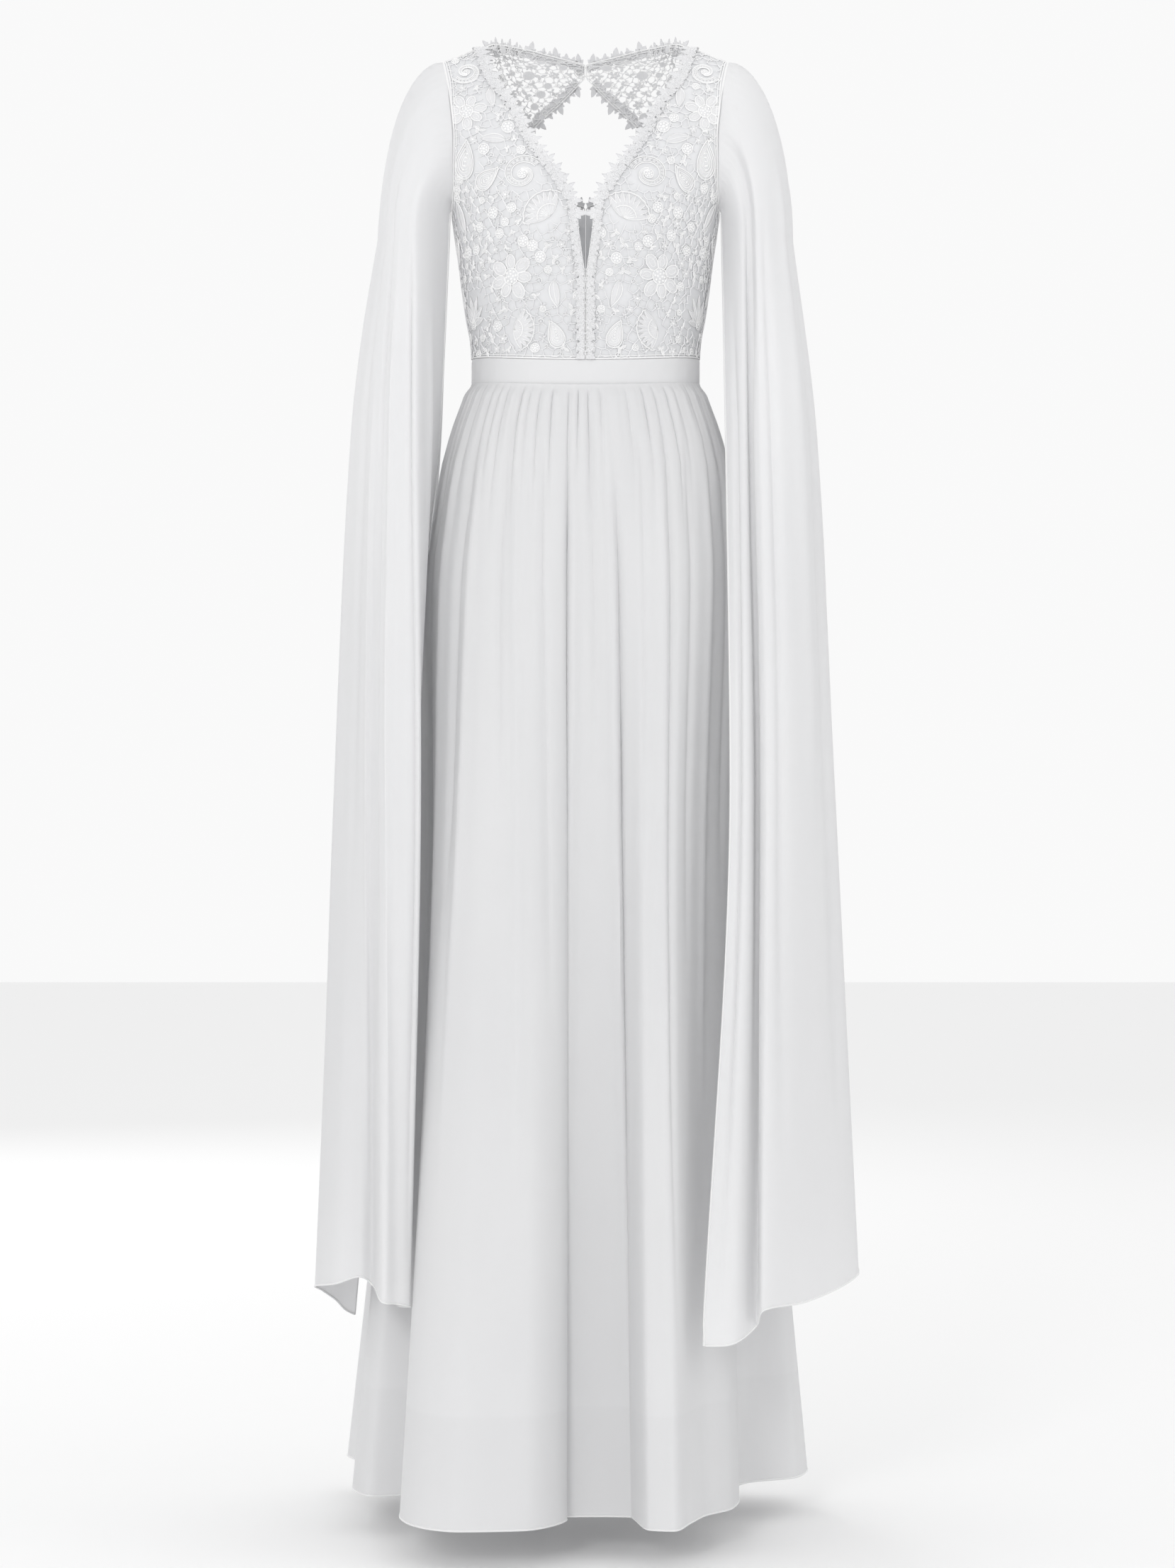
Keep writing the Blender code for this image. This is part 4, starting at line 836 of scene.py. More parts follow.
class PanelMap:
    """One bodice panel as a flat sheet: x in metres from the centre line, y in metres down from the neck point."""

    ROWS = 221
    COLUMNS = 161
    REACH = 0.190
    TOP = 0.024
    BELOW = 0.004
    WIDEST = 94.0
    BORDER = 0.012
    STEP = 0.0015
    FAR = 9.0
    LINING_STEPS = (2, 4)

    def __init__(self, side: Side, hand: Hand) -> None:
        """Works out the panel's own grid, its flat form and how far each flat place lies from its edges."""
        self.side = side
        self.hand = hand
        down, across = np.meshgrid(np.linspace(0, 1, self.ROWS), np.linspace(0, 1, self.COLUMNS), indexing="ij")
        self.grid = TORSO_FORM.panel(side, across, down)
        self.ways = grid_normals(self.grid)
        bottom = float(self.grid[..., 2].min()) - self.BELOW
        heights = np.linspace(self.TOP, bottom, self.ROWS)
        angles = np.linspace(0.0, self.WIDEST, self.COLUMNS)
        form = TORSO_FORM.point(side, angles[None], heights[:, None])
        steps = np.linalg.norm(np.diff(form, axis=1), axis=-1)
        arcs = np.concatenate([np.zeros((self.ROWS, 1)), np.cumsum(steps, axis=1)], axis=1)
        fall = np.linalg.norm(np.diff(form[:, self.COLUMNS // 3], axis=0), axis=-1)
        self.falls = np.concatenate([[0.0], np.cumsum(fall)])
        self.tall = float(self.falls[-1])
        evenly = np.linspace(0.0, self.REACH, self.COLUMNS)
        turned_to = np.stack([np.interp(evenly, row, angles) for row in arcs])
        even_falls = np.linspace(0.0, self.tall, self.ROWS)
        even_heights = np.interp(even_falls, self.falls, heights)
        turned_to = np.stack([np.interp(even_heights, heights[::-1], line[::-1]) for line in turned_to.T], axis=1)
        self.form = TORSO_FORM.point(side, turned_to, even_heights[:, None])
        self.form_ways = grid_normals(self.form)
        if side is Side.BACK:
            self.ways = -self.ways
            self.form_ways = -self.form_ways
        spot_angles = TORSO_FORM.angle_at(self.grid[..., 0], self.grid[..., 2])
        spot_falls = np.interp(self.grid[..., 2], heights[::-1], self.falls[::-1])
        row = np.interp(self.grid[..., 2], heights[::-1], np.arange(self.ROWS)[::-1])
        i = np.minimum(row.astype(int), self.ROWS - 2)
        j = np.minimum(spot_angles / self.WIDEST * (self.COLUMNS - 1), self.COLUMNS - 1.001)
        k = j.astype(int)
        near = arcs[i, k] * (1 - (j - k)) + arcs[i, k + 1] * (j - k)
        far = arcs[i + 1, k] * (1 - (j - k)) + arcs[i + 1, k + 1] * (j - k)
        self.flats = np.stack([near * (1 - (row - i)) + far * (row - i), spot_falls], axis=-1)
        self._measure_edges()

    def _measure_edges(self) -> None:
        """Finds how far each flat place lies inside the panel, on a grid of places."""
        flats = self.flats
        edge = np.concatenate([flats[:-1, 0], flats[-1, :-1], flats[:0:-1, -1], flats[0, :0:-1]])
        self.edge = edge[::2]
        ends = np.roll(self.edge, -1, axis=0)
        x = np.arange(-self.BORDER, self.REACH + self.BORDER, self.STEP)
        y = np.arange(-self.BORDER, self.tall + self.BORDER, self.STEP)
        places = np.stack(np.meshgrid(x, y, indexing="xy"), axis=-1)
        away = np.full(places.shape[:2], self.FAR)
        inside = np.zeros(places.shape[:2], bool)
        for a, b in zip(self.edge, ends):
            span = b - a
            share = np.clip(((places - a) @ span) / max(float(span @ span), 1e-12), 0.0, 1.0)
            away = np.minimum(away, np.linalg.norm(places - a - share[..., None] * span, axis=-1))
            if a[1] != b[1]:
                crosses = (a[1] > places[..., 1]) != (b[1] > places[..., 1])
                inside ^= crosses & (places[..., 0] < a[0] + span[0] * (places[..., 1] - a[1]) / span[1])
        self.margins = np.where(inside, away, -away)
        self.slopes = np.stack(np.gradient(self.margins, self.STEP)[::-1], axis=-1)

    def margin(self, flat: Array) -> tuple[Array, Array]:
        """How far flat places lie inside the panel, and the way further in."""
        u = np.clip((flat[..., 0] + self.BORDER) / self.STEP, 0, self.margins.shape[1] - 1.001)
        v = np.clip((flat[..., 1] + self.BORDER) / self.STEP, 0, self.margins.shape[0] - 1.001)
        i, j = v.astype(int), u.astype(int)
        s, t = u - j, v - i
        mixed = [
            (
                table[i, j].T * ((1 - s) * (1 - t)).T
                + table[i, j + 1].T * (s * (1 - t)).T
                + table[i + 1, j].T * ((1 - s) * t).T
                + table[i + 1, j + 1].T * (s * t).T
            ).T
            for table in (self.margins, self.slopes)
        ]
        return mixed[0], unit(mixed[1] + 1e-9)

    def flat_of(self, across: float, down: float) -> Array:
        """The flat place at a part across and down the panel."""
        return self._read(self.flats, np.array([across]), np.array([down]))[0]

    def _read(self, table: Array, across: Array, down: Array) -> Array:
        """A grid table read between its points."""
        u = np.clip(across, 0.0, 1.0) * (self.COLUMNS - 1)
        v = np.clip(down, 0.0, 1.0) * (self.ROWS - 1)
        i = np.minimum(v.astype(int), self.ROWS - 2)
        j = np.minimum(u.astype(int), self.COLUMNS - 2)
        s, t = (u - j)[..., None], (v - i)[..., None]
        top = table[i, j] * (1 - s) + table[i, j + 1] * s
        low = table[i + 1, j] * (1 - s) + table[i + 1, j + 1] * s
        return top * (1 - t) + low * t

    def place(self, flat: Array, lift: Array | float) -> Array:
        """Points in space over flat points, lifted off the lining.

        Args:
            flat: The x and y of each point.
            lift: How far each stands off the surface.

        Returns:
            The points, on this panel's side of the dress.
        """
        across, down = flat[..., 0] / self.REACH, flat[..., 1] / self.tall
        points = self._read(self.form, across, down)
        points = points + unit(self._read(self.form_ways, across, down)) * np.asarray(lift)[..., None]
        points[..., 0] = np.maximum(points[..., 0], HALF_SEAM)
        return points * self.hand.flip

    def inside(self, flat: Array, margin: float) -> Array:
        """Whether each flat point lies this far inside the panel's edges."""
        return self.margin(flat)[0] > margin

    def kept(self, flat: Array, margin: float) -> Array:
        """Flat points, with those outside the panel pushed back to its edge."""
        depth, inward = self.margin(flat)
        return flat + inward * np.maximum(margin - depth, 0.0)[..., None]

    def lining(self, first_down: float) -> tuple[Array, Array]:
        """The grid and normals of the panel's lining, from this part down."""
        rows = np.linspace(0, 1, self.ROWS) >= first_down
        every_row, every_column = self.LINING_STEPS
        return tuple(grid[rows][::every_row, ::every_column] * self.hand.flip for grid in (self.grid, self.ways))


class Motif(Enum):
    """The kinds of motif in the lace."""

    FLOWER = "flower"
    DAISY = "daisy"
    PAISLEY = "paisley"
    SCROLL = "scroll"
    SPRAY = "spray"
    FAN = "fan"
    LEAF = "leaf"


class MotifRow(NamedTuple):
    """One motif of a panel: its place as parts across and down, its radius and its turn in degrees."""

    kind: Motif
    across: float
    down: float
    size: float
    turn: float


FRONT_LACE = named_rows(
    MotifRow,
    (Motif.SCROLL, 0.55, 0.07, 0.0185, 20), (Motif.FLOWER, 0.74, 0.2, 0.021, 0),
    (Motif.LEAF, 0.3, 0.17, 0.013, 70), (Motif.DAISY, 0.22, 0.275, 0.0065, 0),
    (Motif.LEAF, 0.42, 0.3, 0.014, -35), (Motif.PAISLEY, 0.8, 0.36, 0.021, -12),
    (Motif.DAISY, 0.56, 0.335, 0.006, 0), (Motif.PAISLEY, 0.56, 0.435, 0.016, -52),
    (Motif.SCROLL, 0.27, 0.43, 0.024, 200), (Motif.DAISY, 0.9, 0.475, 0.0055, 0),
    (Motif.FAN, 0.17, 0.545, 0.023, -60), (Motif.DAISY, 0.46, 0.545, 0.006, 0),
    (Motif.DAISY, 0.57, 0.585, 0.005, 0), (Motif.LEAF, 0.76, 0.545, 0.018, 100),
    (Motif.PAISLEY, 0.9, 0.64, 0.013, 170), (Motif.DAISY, 0.73, 0.66, 0.007, 0),
    (Motif.DAISY, 0.3, 0.64, 0.0055, 0), (Motif.FLOWER, 0.4, 0.745, 0.0235, 15),
    (Motif.SPRAY, 0.76, 0.85, 0.029, 0), (Motif.LEAF, 0.17, 0.8, 0.014, 80), (Motif.FAN, 0.37, 0.91, 0.02, 180),
    (Motif.LEAF, 0.93, 0.8, 0.013, 95), (Motif.PAISLEY, 0.16, 0.92, 0.014, 20),
    (Motif.DAISY, 0.93, 0.93, 0.006, 0),
)
BACK_LACE = named_rows(
    MotifRow,
    (Motif.SCROLL, 0.52, 0.11, 0.022, 120), (Motif.DAISY, 0.3, 0.075, 0.006, 0),
    (Motif.LEAF, 0.8, 0.08, 0.013, 10), (Motif.PAISLEY, 0.8, 0.2, 0.018, -20),
    (Motif.LEAF, 0.32, 0.185, 0.013, 50), (Motif.FLOWER, 0.5, 0.29, 0.02, 10),
    (Motif.DAISY, 0.86, 0.335, 0.006, 0), (Motif.LEAF, 0.24, 0.38, 0.013, -50),
    (Motif.SCROLL, 0.62, 0.44, 0.024, 60), (Motif.FAN, 0.22, 0.5, 0.02, -100),
    (Motif.DAISY, 0.88, 0.5, 0.006, 0), (Motif.FLOWER, 0.3, 0.64, 0.0225, 0),
    (Motif.PAISLEY, 0.74, 0.63, 0.02, 160), (Motif.DAISY, 0.54, 0.57, 0.0055, 0),
    (Motif.SPRAY, 0.62, 0.85, 0.029, -10), (Motif.DAISY, 0.9, 0.74, 0.006, 0),
    (Motif.PAISLEY, 0.18, 0.83, 0.018, 30), (Motif.FAN, 0.86, 0.91, 0.018, 180),
    (Motif.LEAF, 0.36, 0.92, 0.015, -70),
)


# Slots of the lace: the cord slot carries the painted highlight, the fill slot the painted shade
NET_SLOT, FILL_SLOT, CORD_SLOT = 0, 1, 2
LACE_FINISHES = (LACE_NET, LACE_FILL_PAINTED_SHADE, LACE_CORD_PAINTED_HIGHLIGHT)


def ellipse(centre: Array, long: float, short: float, turn: float, count: int = 14) -> Array:
    """A closed flat outline; turn is in degrees, and 0 lays the long way along x."""
    t = np.arange(count) * 2.0 * np.pi / count
    return centre + turned(np.stack([long * np.cos(t), short * np.sin(t)], axis=-1), turn)


def turned(flat: Array, turn: float) -> Array:
    """Flat points turned about the origin by degrees."""
    c, s = math.cos(math.radians(turn)), math.sin(math.radians(turn))
    return np.stack([flat[..., 0] * c - flat[..., 1] * s, flat[..., 0] * s + flat[..., 1] * c], axis=-1)


def spoke(centre: Array, reach: float, turn: float) -> Array:
    """The flat place this far from a centre, at a turn in degrees."""
    return centre + turned(np.array([reach, 0.0]), turn)


def leaf_outline(length: float, width: float, bend: float = 0.0, count: int = 9) -> Array:
    """A pointed leaf from the origin along +x, bent sideways by a share of its length."""
    t = np.linspace(0.0, 1.0, count)
    half = 0.5 * width * np.sin(np.pi * t**0.85) ** 0.9
    spine = bend * length * t * t
    there = np.stack([length * t, spine + half], axis=-1)
    back = np.stack([length * t, spine - half], axis=-1)[::-1][1:-1]
    return np.concatenate([there, back])


def teardrop(size: float, count: int = 26) -> Array:
    """A paisley outline about the origin, with its curled tip towards -y."""
    t = np.linspace(0.0, 2.0 * np.pi, count, endpoint=False)
    narrow = np.sin(0.5 * t) ** 1.15
    x = 0.80 * size * np.sin(t) * narrow + 0.42 * size * (1.0 - narrow) ** 2
    y = -size * np.cos(t) * 1.05
    return np.stack([x, y], axis=-1)


@dataclass
class LaceDrawing:
    """The lace of one bodice panel, drawn on its flat form and lifted into place.

    Args:
        side: Front or back.
        hand: The wearer's left or right.
        motifs: Where the motifs lie.
        net_pitch: The distance between the net's cells.
        bar_radius: Half the thickness of a bar of the net.
        cord_radius: Half the thickness of an outline cord.
        seed: Sets the small unevenness of the net.
        filler_pitch: The distance between the fillers of the ground.
        edge_margin: How far inside the panel's edge its cords stay.
        motif_margin: How far inside it the middle of a motif stays.
        reach: How far sideways the ground goes.
        rib_turn: The angle between two ribs of a fan.
        wind: How far round a scroll winds, in degrees.
        squash: How tall a scroll is for its width.
    """

    side: Side
    hand: Hand
    motifs: tuple[MotifRow, ...]
    net_pitch: float = 0.0098
    bar_radius: float = 0.00058
    cord_radius: float = 0.00060
    seed: float = 1.0
    filler_pitch: float = 0.0150
    edge_margin: float = 0.0008
    motif_margin: float = 0.006
    reach: float = 0.17
    petals: int = 7
    ribs: int = 9
    rib_turn: float = 15.0
    wind: float = 430.0
    beads: int = 26
    squash: float = 0.92
    maker: MeshMaker = field(default_factory=MeshMaker)

    def __post_init__(self) -> None:
        """Works out the panel's flat form and where its motifs lie."""
        self.panel = PanelMap(self.side, self.hand)
        self.spots: list[tuple[Array, float]] = []

    def centre(self, row: MotifRow) -> Array:
        """The flat place of a motif, kept inside the panel."""
        return self.panel.kept(self.panel.flat_of(row.across, row.down), self.motif_margin)

    def kept(self, flat: Array) -> Array:
        """The flat points, pushed back inside the panel's edges."""
        return self.panel.kept(flat, self.edge_margin)

    def cord(self, flat: Array, radius: float, closed: bool = False, lift: float = 0.0, slot: int = CORD_SLOT) -> None:
        """A cord along a flat path, lying on the lace's ground."""
        path = self.panel.place(self.kept(flat), LACE_LIFT + radius * 0.8 + lift)
        sides = 4 if radius >= self.cord_radius else 3
        add_tube(self.maker, path, radius, sides, closed, slot)

    def pad(self, outline: Array, rise: float, lift: float = 0.0, slot: int = FILL_SLOT) -> None:
        """A low closed mound over a flat outline that its middle can see all of."""
        add_mound(self.maker, self.panel.place, self.kept(outline), LACE_LIFT + lift, rise, (0.84, 0.80), slot)

    def leaf(self, start: Array, length: float, width: float, turn: float, bend: float = 0.15) -> None:
        """A veined leaf with a corded edge."""
        outline = start + turned(leaf_outline(length, width, bend), turn)
        self.pad(outline, 0.0007)
        self.cord(outline, self.cord_radius * 0.85, closed=True)
        t = np.linspace(0.05, 0.85, 5)
        spine = start + turned(np.stack([length * t, bend * length * t * t], axis=-1), turn)
        self.cord(spine, self.cord_radius * 0.6, lift=0.0005)

    def daisy(self, centre: Array, size: float) -> None:
        """A small round flower: a corded ring about a dense knot."""
        self.pad(ellipse(centre, size, size, 0.0, 12), 0.0006)
        self.cord(ellipse(centre, size, size, 0.0, 16), self.cord_radius, closed=True)
        for k in range(7):
            turn = k * 360.0 / 7 + 20.0 * self.seed
            knot = spoke(centre, size * 0.60, turn)
            self.pad(ellipse(knot, size * 0.24, size * 0.19, turn, 7), 0.0010, 0.0003, CORD_SLOT)
        self.pad(ellipse(centre, size * 0.28, size * 0.28, 0.0, 8), 0.0014, 0.0003, CORD_SLOT)

    def flower(self, centre: Array, size: float, turn: float) -> None:
        """A large flower: double-edged petals about a dense centre."""
        for k in range(self.petals):
            way = turn + k * 360.0 / self.petals + 4.0 * math.sin(2.0 * k + self.seed)
            reach = size * (1.0 + 0.08 * math.sin(3.1 * k + self.seed))
            heart = spoke(centre, 0.66 * reach, way)
            outer = ellipse(heart, 0.36 * reach, 0.25 * reach, way, 14)
            self.pad(outer, 0.0007)
            self.cord(outer, self.cord_radius, closed=True)
            self.cord(ellipse(heart, 0.20 * reach, 0.12 * reach, way, 9), self.cord_radius * 0.6, True, 0.0005)
        self.pad(ellipse(centre, size * 0.34, size * 0.34, 0.0, 14), 0.0010, 0.0004)
        self.cord(ellipse(centre, size * 0.36, size * 0.36, 0.0, 16), self.cord_radius, True, 0.0005)
        for ring, count in ((0.24, 8), (0.11, 4)):
            for k in range(count):
                knot = spoke(centre, size * ring, k * 360.0 / count + 30.0 * ring)
                self.pad(ellipse(knot, size * 0.062, size * 0.055, 40.0 * k, 6), 0.0012, 0.0007, CORD_SLOT)

    def paisley(self, centre: Array, size: float, turn: float) -> None:
        """A paisley of nested cords over a filled ground."""
        outline = teardrop(size)
        self.pad(centre + turned(outline, turn), 0.0006)
        for share, radius in ((1.0, 1.0), (0.84, 0.75), (0.62, 0.75), (0.44, 0.6), (0.26, 0.6)):
            nested = outline * share + np.array([0.0, 0.16 * size * (1.0 - share)])
            self.cord(centre + turned(nested, turn), self.cord_radius * radius, True, 0.0004)
        for k in range(5):
            place = np.array([0.0, 0.55 * size - 0.22 * size * k])
            knot = centre + turned(place, turn)
            self.pad(ellipse(knot, size * 0.075, size * 0.055, turn, 7), 0.0012, 0.0005, CORD_SLOT)

    def scroll(self, centre: Array, size: float, turn: float) -> None:
        """A curled scroll: cords that wind inwards side by side over a filled band."""
        t = np.linspace(0.0, 1.0, 34)
        for lane, radius in ((0.0, 1.0), (0.085, 0.7), (0.25, 0.7), (0.335, 1.0)):
            bend = np.radians(turn + self.wind * t)
            reach = size * (1.0 - 0.72 * t - lane * (1.0 - 0.55 * t))
            path = centre + np.stack([reach * np.cos(bend), reach * np.sin(bend) * self.squash], axis=-1)
            self.cord(path, self.cord_radius * radius, lift=0.0003)
        for k in range(self.beads):
            share = (k + 0.5) / self.beads
            way = turn + self.wind * share
            reach = size * (1.0 - 0.72 * share - 0.165 * (1.0 - 0.55 * share))
            spot = centre + turned(np.array([reach, 0.0]), way) * np.array([1.0, self.squash])
            size_here = size * (0.105 - 0.055 * share)
            self.pad(ellipse(spot, size_here * 0.7, size_here * 1.25, way, 7), 0.0009)
        self.daisy(centre, size * 0.20)

    def fan(self, centre: Array, size: float, turn: float) -> None:
        """A ribbed fan with a scalloped edge."""
        base = spoke(centre, -0.45 * size, turn)
        for k in range(self.ribs):
            way = turn + (k - (self.ribs - 1) / 2.0) * self.rib_turn
            outline = base + turned(leaf_outline(size * 1.25, size * 0.24, 0.05, 8), way)
            self.pad(outline, 0.0007)
            self.cord(outline, self.cord_radius * 0.7, True)
        for share in (0.55, 1.18):
            arc = np.linspace(-66.0, 66.0, 18)
            scallop = 1.0 + 0.03 * np.cos(np.radians(arc) * 360.0 / self.rib_turn)
            reach = size * share * scallop
            edge = np.stack([reach * np.cos(np.radians(arc)), reach * np.sin(np.radians(arc))], axis=-1)
            self.cord(base + turned(edge, turn), self.cord_radius, lift=0.0006)

    def spray(self, centre: Array, size: float, turn: float) -> None:
        """Leaves that spread from one stem."""
        root = centre + turned(np.array([0.0, 0.45 * size]), turn)
        for way, long, bend in (
            (-152, 0.70, -0.2), (-128, 0.90, -0.1), (-104, 1.05, 0.0), (-80, 1.05, 0.05),
            (-56, 0.95, 0.1), (-30, 0.80, 0.2), (-4, 0.60, 0.3),
        ):
            self.leaf(root, size * long, size * 0.27, turn + way, bend)
        self.daisy(root, size * 0.17)

    def draw_motifs(self) -> None:
        """Draws every motif of the panel's table."""
        draw: dict[Motif, Callable[[Array, float, float], None]] = {
            Motif.FLOWER: self.flower,
            Motif.PAISLEY: self.paisley,
            Motif.SCROLL: self.scroll,
            Motif.FAN: self.fan,
            Motif.SPRAY: self.spray,
        }
        for k, row in enumerate(self.motifs):
            centre = self.centre(row)
            turn = row.turn + 14.0 * math.sin(3.0 * k + self.seed)
            self.spots.append((centre, row.size))
            if row.kind is Motif.DAISY:
                self.daisy(centre, row.size)
            elif row.kind is Motif.LEAF:
                start = centre - turned(np.array([row.size, 0.0]), turn)
                self.leaf(start, 2.0 * row.size, 0.72 * row.size, turn, 0.22)
            else:
                draw[row.kind](centre, row.size, turn)

    def draw_fillers(self) -> None:
        """Fills the ground between the motifs with small flowers, leaf pairs and corded rings."""
        step = self.filler_pitch
        number = 0
        for r in range(int(self.panel.tall / (0.87 * step)) + 1):
            for c in range(int(self.reach / step) + 1):
                spot = self.jittered((c + 0.5 * (r % 2)) * step, (r + 0.5) * 0.87 * step)
                size = 0.0042 + 0.0012 * math.sin(7.0 * r + 5.0 * c + self.seed)
                if not bool(self.panel.inside(spot, 0.7 * size)) or self.crowded(spot, size):
                    continue
                number += 1
                self.filler(spot, size, number)
                self.spots.append((spot, size))

    def crowded(self, spot: Array, size: float) -> bool:
        """Whether a filler of this size would lie on a motif."""
        return any(np.linalg.norm(spot - centre) < 0.94 * reach + 0.80 * size for centre, reach in self.spots)

    def filler(self, spot: Array, size: float, number: int) -> None:
        """One small filler, by its number."""
        turn = 47.0 * number
        if number % 4 == 0:
            self.daisy(spot, size)
        elif number % 4 == 2:
            for k in range(5):
                heart = spoke(spot, 0.60 * size, turn + 72.0 * k)
                self.pad(ellipse(heart, 0.42 * size, 0.27 * size, turn + 72.0 * k, 8), 0.0008)
                self.cord(ellipse(heart, 0.46 * size, 0.30 * size, turn + 72.0 * k, 9), self.cord_radius * 0.6, True)
            self.pad(ellipse(spot, 0.28 * size, 0.28 * size, 0.0, 8), 0.0014, 0.0002, CORD_SLOT)
        else:
            for k, way in enumerate((turn, turn + 150.0, turn + 235.0)):
                self.leaf(spot, size * (1.45 - 0.25 * k), size * 0.62, way, 0.2)

    def covered(self, flat: Array, share: float) -> Array:
        """Whether each flat point lies within this share of some motif's radius."""
        hidden = np.zeros(flat.shape[:-1], bool)
        for centre, size in self.spots:
            hidden |= np.linalg.norm(flat - centre, axis=-1) < share * size
        return hidden

    def draw_net(self) -> None:
        """The uneven six-sided net between the motifs, with knots and rings where its bars meet."""
        side = self.net_pitch / math.sqrt(3.0)
        columns = int(self.reach / self.net_pitch) + 3
        rows = int(self.panel.tall / (1.5 * side)) + 3
        knots = 0
        for r in range(-1, rows):
            for c in range(-1, columns):
                x = (c + 0.5 * (r % 2)) * self.net_pitch
                y = r * 1.5 * side
                top = self.jittered(x, y - side)
                right = self.jittered(x + 0.5 * self.net_pitch, y - 0.5 * side)
                left = self.jittered(x - 0.5 * self.net_pitch, y - 0.5 * side)
                lower = self.jittered(x + 0.5 * self.net_pitch, y + 0.5 * side)
                for a, b in ((left, top), (top, right), (right, lower)):
                    self.bar(a, b)
                if self.free(top):
                    knots += 1
                    self.knot(top, knots)

    def jittered(self, x: float, y: float) -> Array:
        """A net vertex, moved a little by its own place."""
        push = 0.16 * self.net_pitch
        return np.array([
            x + push * math.sin(431.0 * x + 277.0 * y + self.seed),
            y + push * math.sin(389.0 * y - 311.0 * x + 2.0 * self.seed),
        ])

    def free(self, spot: Array) -> bool:
        """Whether a flat point lies on the panel's open net."""
        return bool(self.panel.inside(spot, 0.004)) and not bool(self.covered(spot, 0.98))

    def bar(self, a: Array, b: Array) -> None:
        """One bar of the net, if it lies on the panel and not under a motif."""
        middle = 0.5 * (a + b)
        if not bool(self.panel.inside(middle, 0.001)) or bool(self.covered(middle, 0.80)):
            return
        path = np.stack([a, mix(a, b, 0.5) + turned(b - a, 90.0) * 0.05, b])
        self.cord(path, self.bar_radius, slot=NET_SLOT)

    def knot(self, spot: Array, number: int) -> None:
        """A ring, a small disc or a bud where bars of the net meet."""
        kind = number % 5
        size = 0.0024 + 0.0008 * math.sin(2.3 * number + self.seed)
        if kind in (0, 3):
            self.cord(ellipse(spot, size, size * 0.9, 0.0, 9), self.cord_radius * 0.8, True)
            self.pad(ellipse(spot, size * 0.5, size * 0.45, 0.0, 7), 0.0011, 0.0002)
        elif kind == 1:
            for turn in (0.0, 120.0, 240.0):
                heart = spoke(spot, size * 0.8, turn + 25.0 * number)
                self.pad(ellipse(heart, size * 0.75, size * 0.42, turn + 25.0 * number, 7), 0.0009)
        else:
            self.pad(ellipse(spot, size * 0.52, size * 0.52, 0.0, 7), 0.0009)

    def draw_edges(self) -> None:
        """Cords round the panel's edge, where its net is bound."""
        for margin, radius in ((0.0009, 0.0007), (0.0034, 0.0005)):
            path = self.panel.place(self.panel.kept(self.panel.edge, margin), LACE_LIFT + radius * 0.8)
            add_tube(self.maker, path, radius, 4, closed=True, slot=CORD_SLOT)

    def build(self) -> Piece:
        """Draws the whole panel and makes its piece."""
        self.draw_motifs()
        self.draw_fillers()
        self.draw_net()
        self.draw_edges()
        node = f"lace_{self.side.label}_{self.hand.label}"
        piece = self.maker.finished(node + "_cords", LACE_FINISHES, 60.0)
        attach(piece, "root")
        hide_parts(node)
        size = np.ptp(self.panel.edge, axis=0)
        LOG.info("%s: %d faces, cut %.3f by %.3f m", piece.name, len(piece.data.polygons), *size)
        return piece


class EdgeMap:
    """A strip along an edge of a panel: s in metres along the edge, and inward in metres from it."""

    def __init__(self, panel: PanelMap, edge: Array, inside: Array) -> None:
        """Reads the edge, and the line inside it that says which way is in.

        Args:
            panel: The panel the strip lies on.
            edge: Parts across and down of points along the edge.
            inside: The same for the line inside it.
        """
        self.panel = panel
        self.points = panel._read(panel.grid, edge[:, 0], edge[:, 1])
        within = panel._read(panel.grid, inside[:, 0], inside[:, 1])
        self.ways = unit(panel._read(panel.ways, edge[:, 0], edge[:, 1]))
        ahead = unit(np.gradient(self.points, axis=0))
        across = unit(np.cross(ahead, self.ways))
        self.inward = across * np.sign(np.sum(across * (within - self.points), axis=-1, keepdims=True))
        self.along = np.concatenate([[0.0], np.cumsum(np.linalg.norm(np.diff(self.points, axis=0), axis=-1))])
        self.length = float(self.along[-1])

    def place(self, flat: Array, lift: Array | float) -> Array:
        """Points in space over flat (along, inward) points, lifted off the panel."""
        s, inward = flat[..., 0], flat[..., 1]

        def read(table: Array) -> Array:
            """The table's value at each place along the edge."""
            return np.stack([np.interp(s, self.along, table[:, k]) for k in range(3)], axis=-1)

        points = read(self.points) + unit(read(self.inward)) * inward[..., None]
        points = points + unit(read(self.ways)) * np.asarray(lift)[..., None]
        points[..., 0] = np.maximum(points[..., 0], HALF_SEAM)
        return points * self.panel.hand.flip


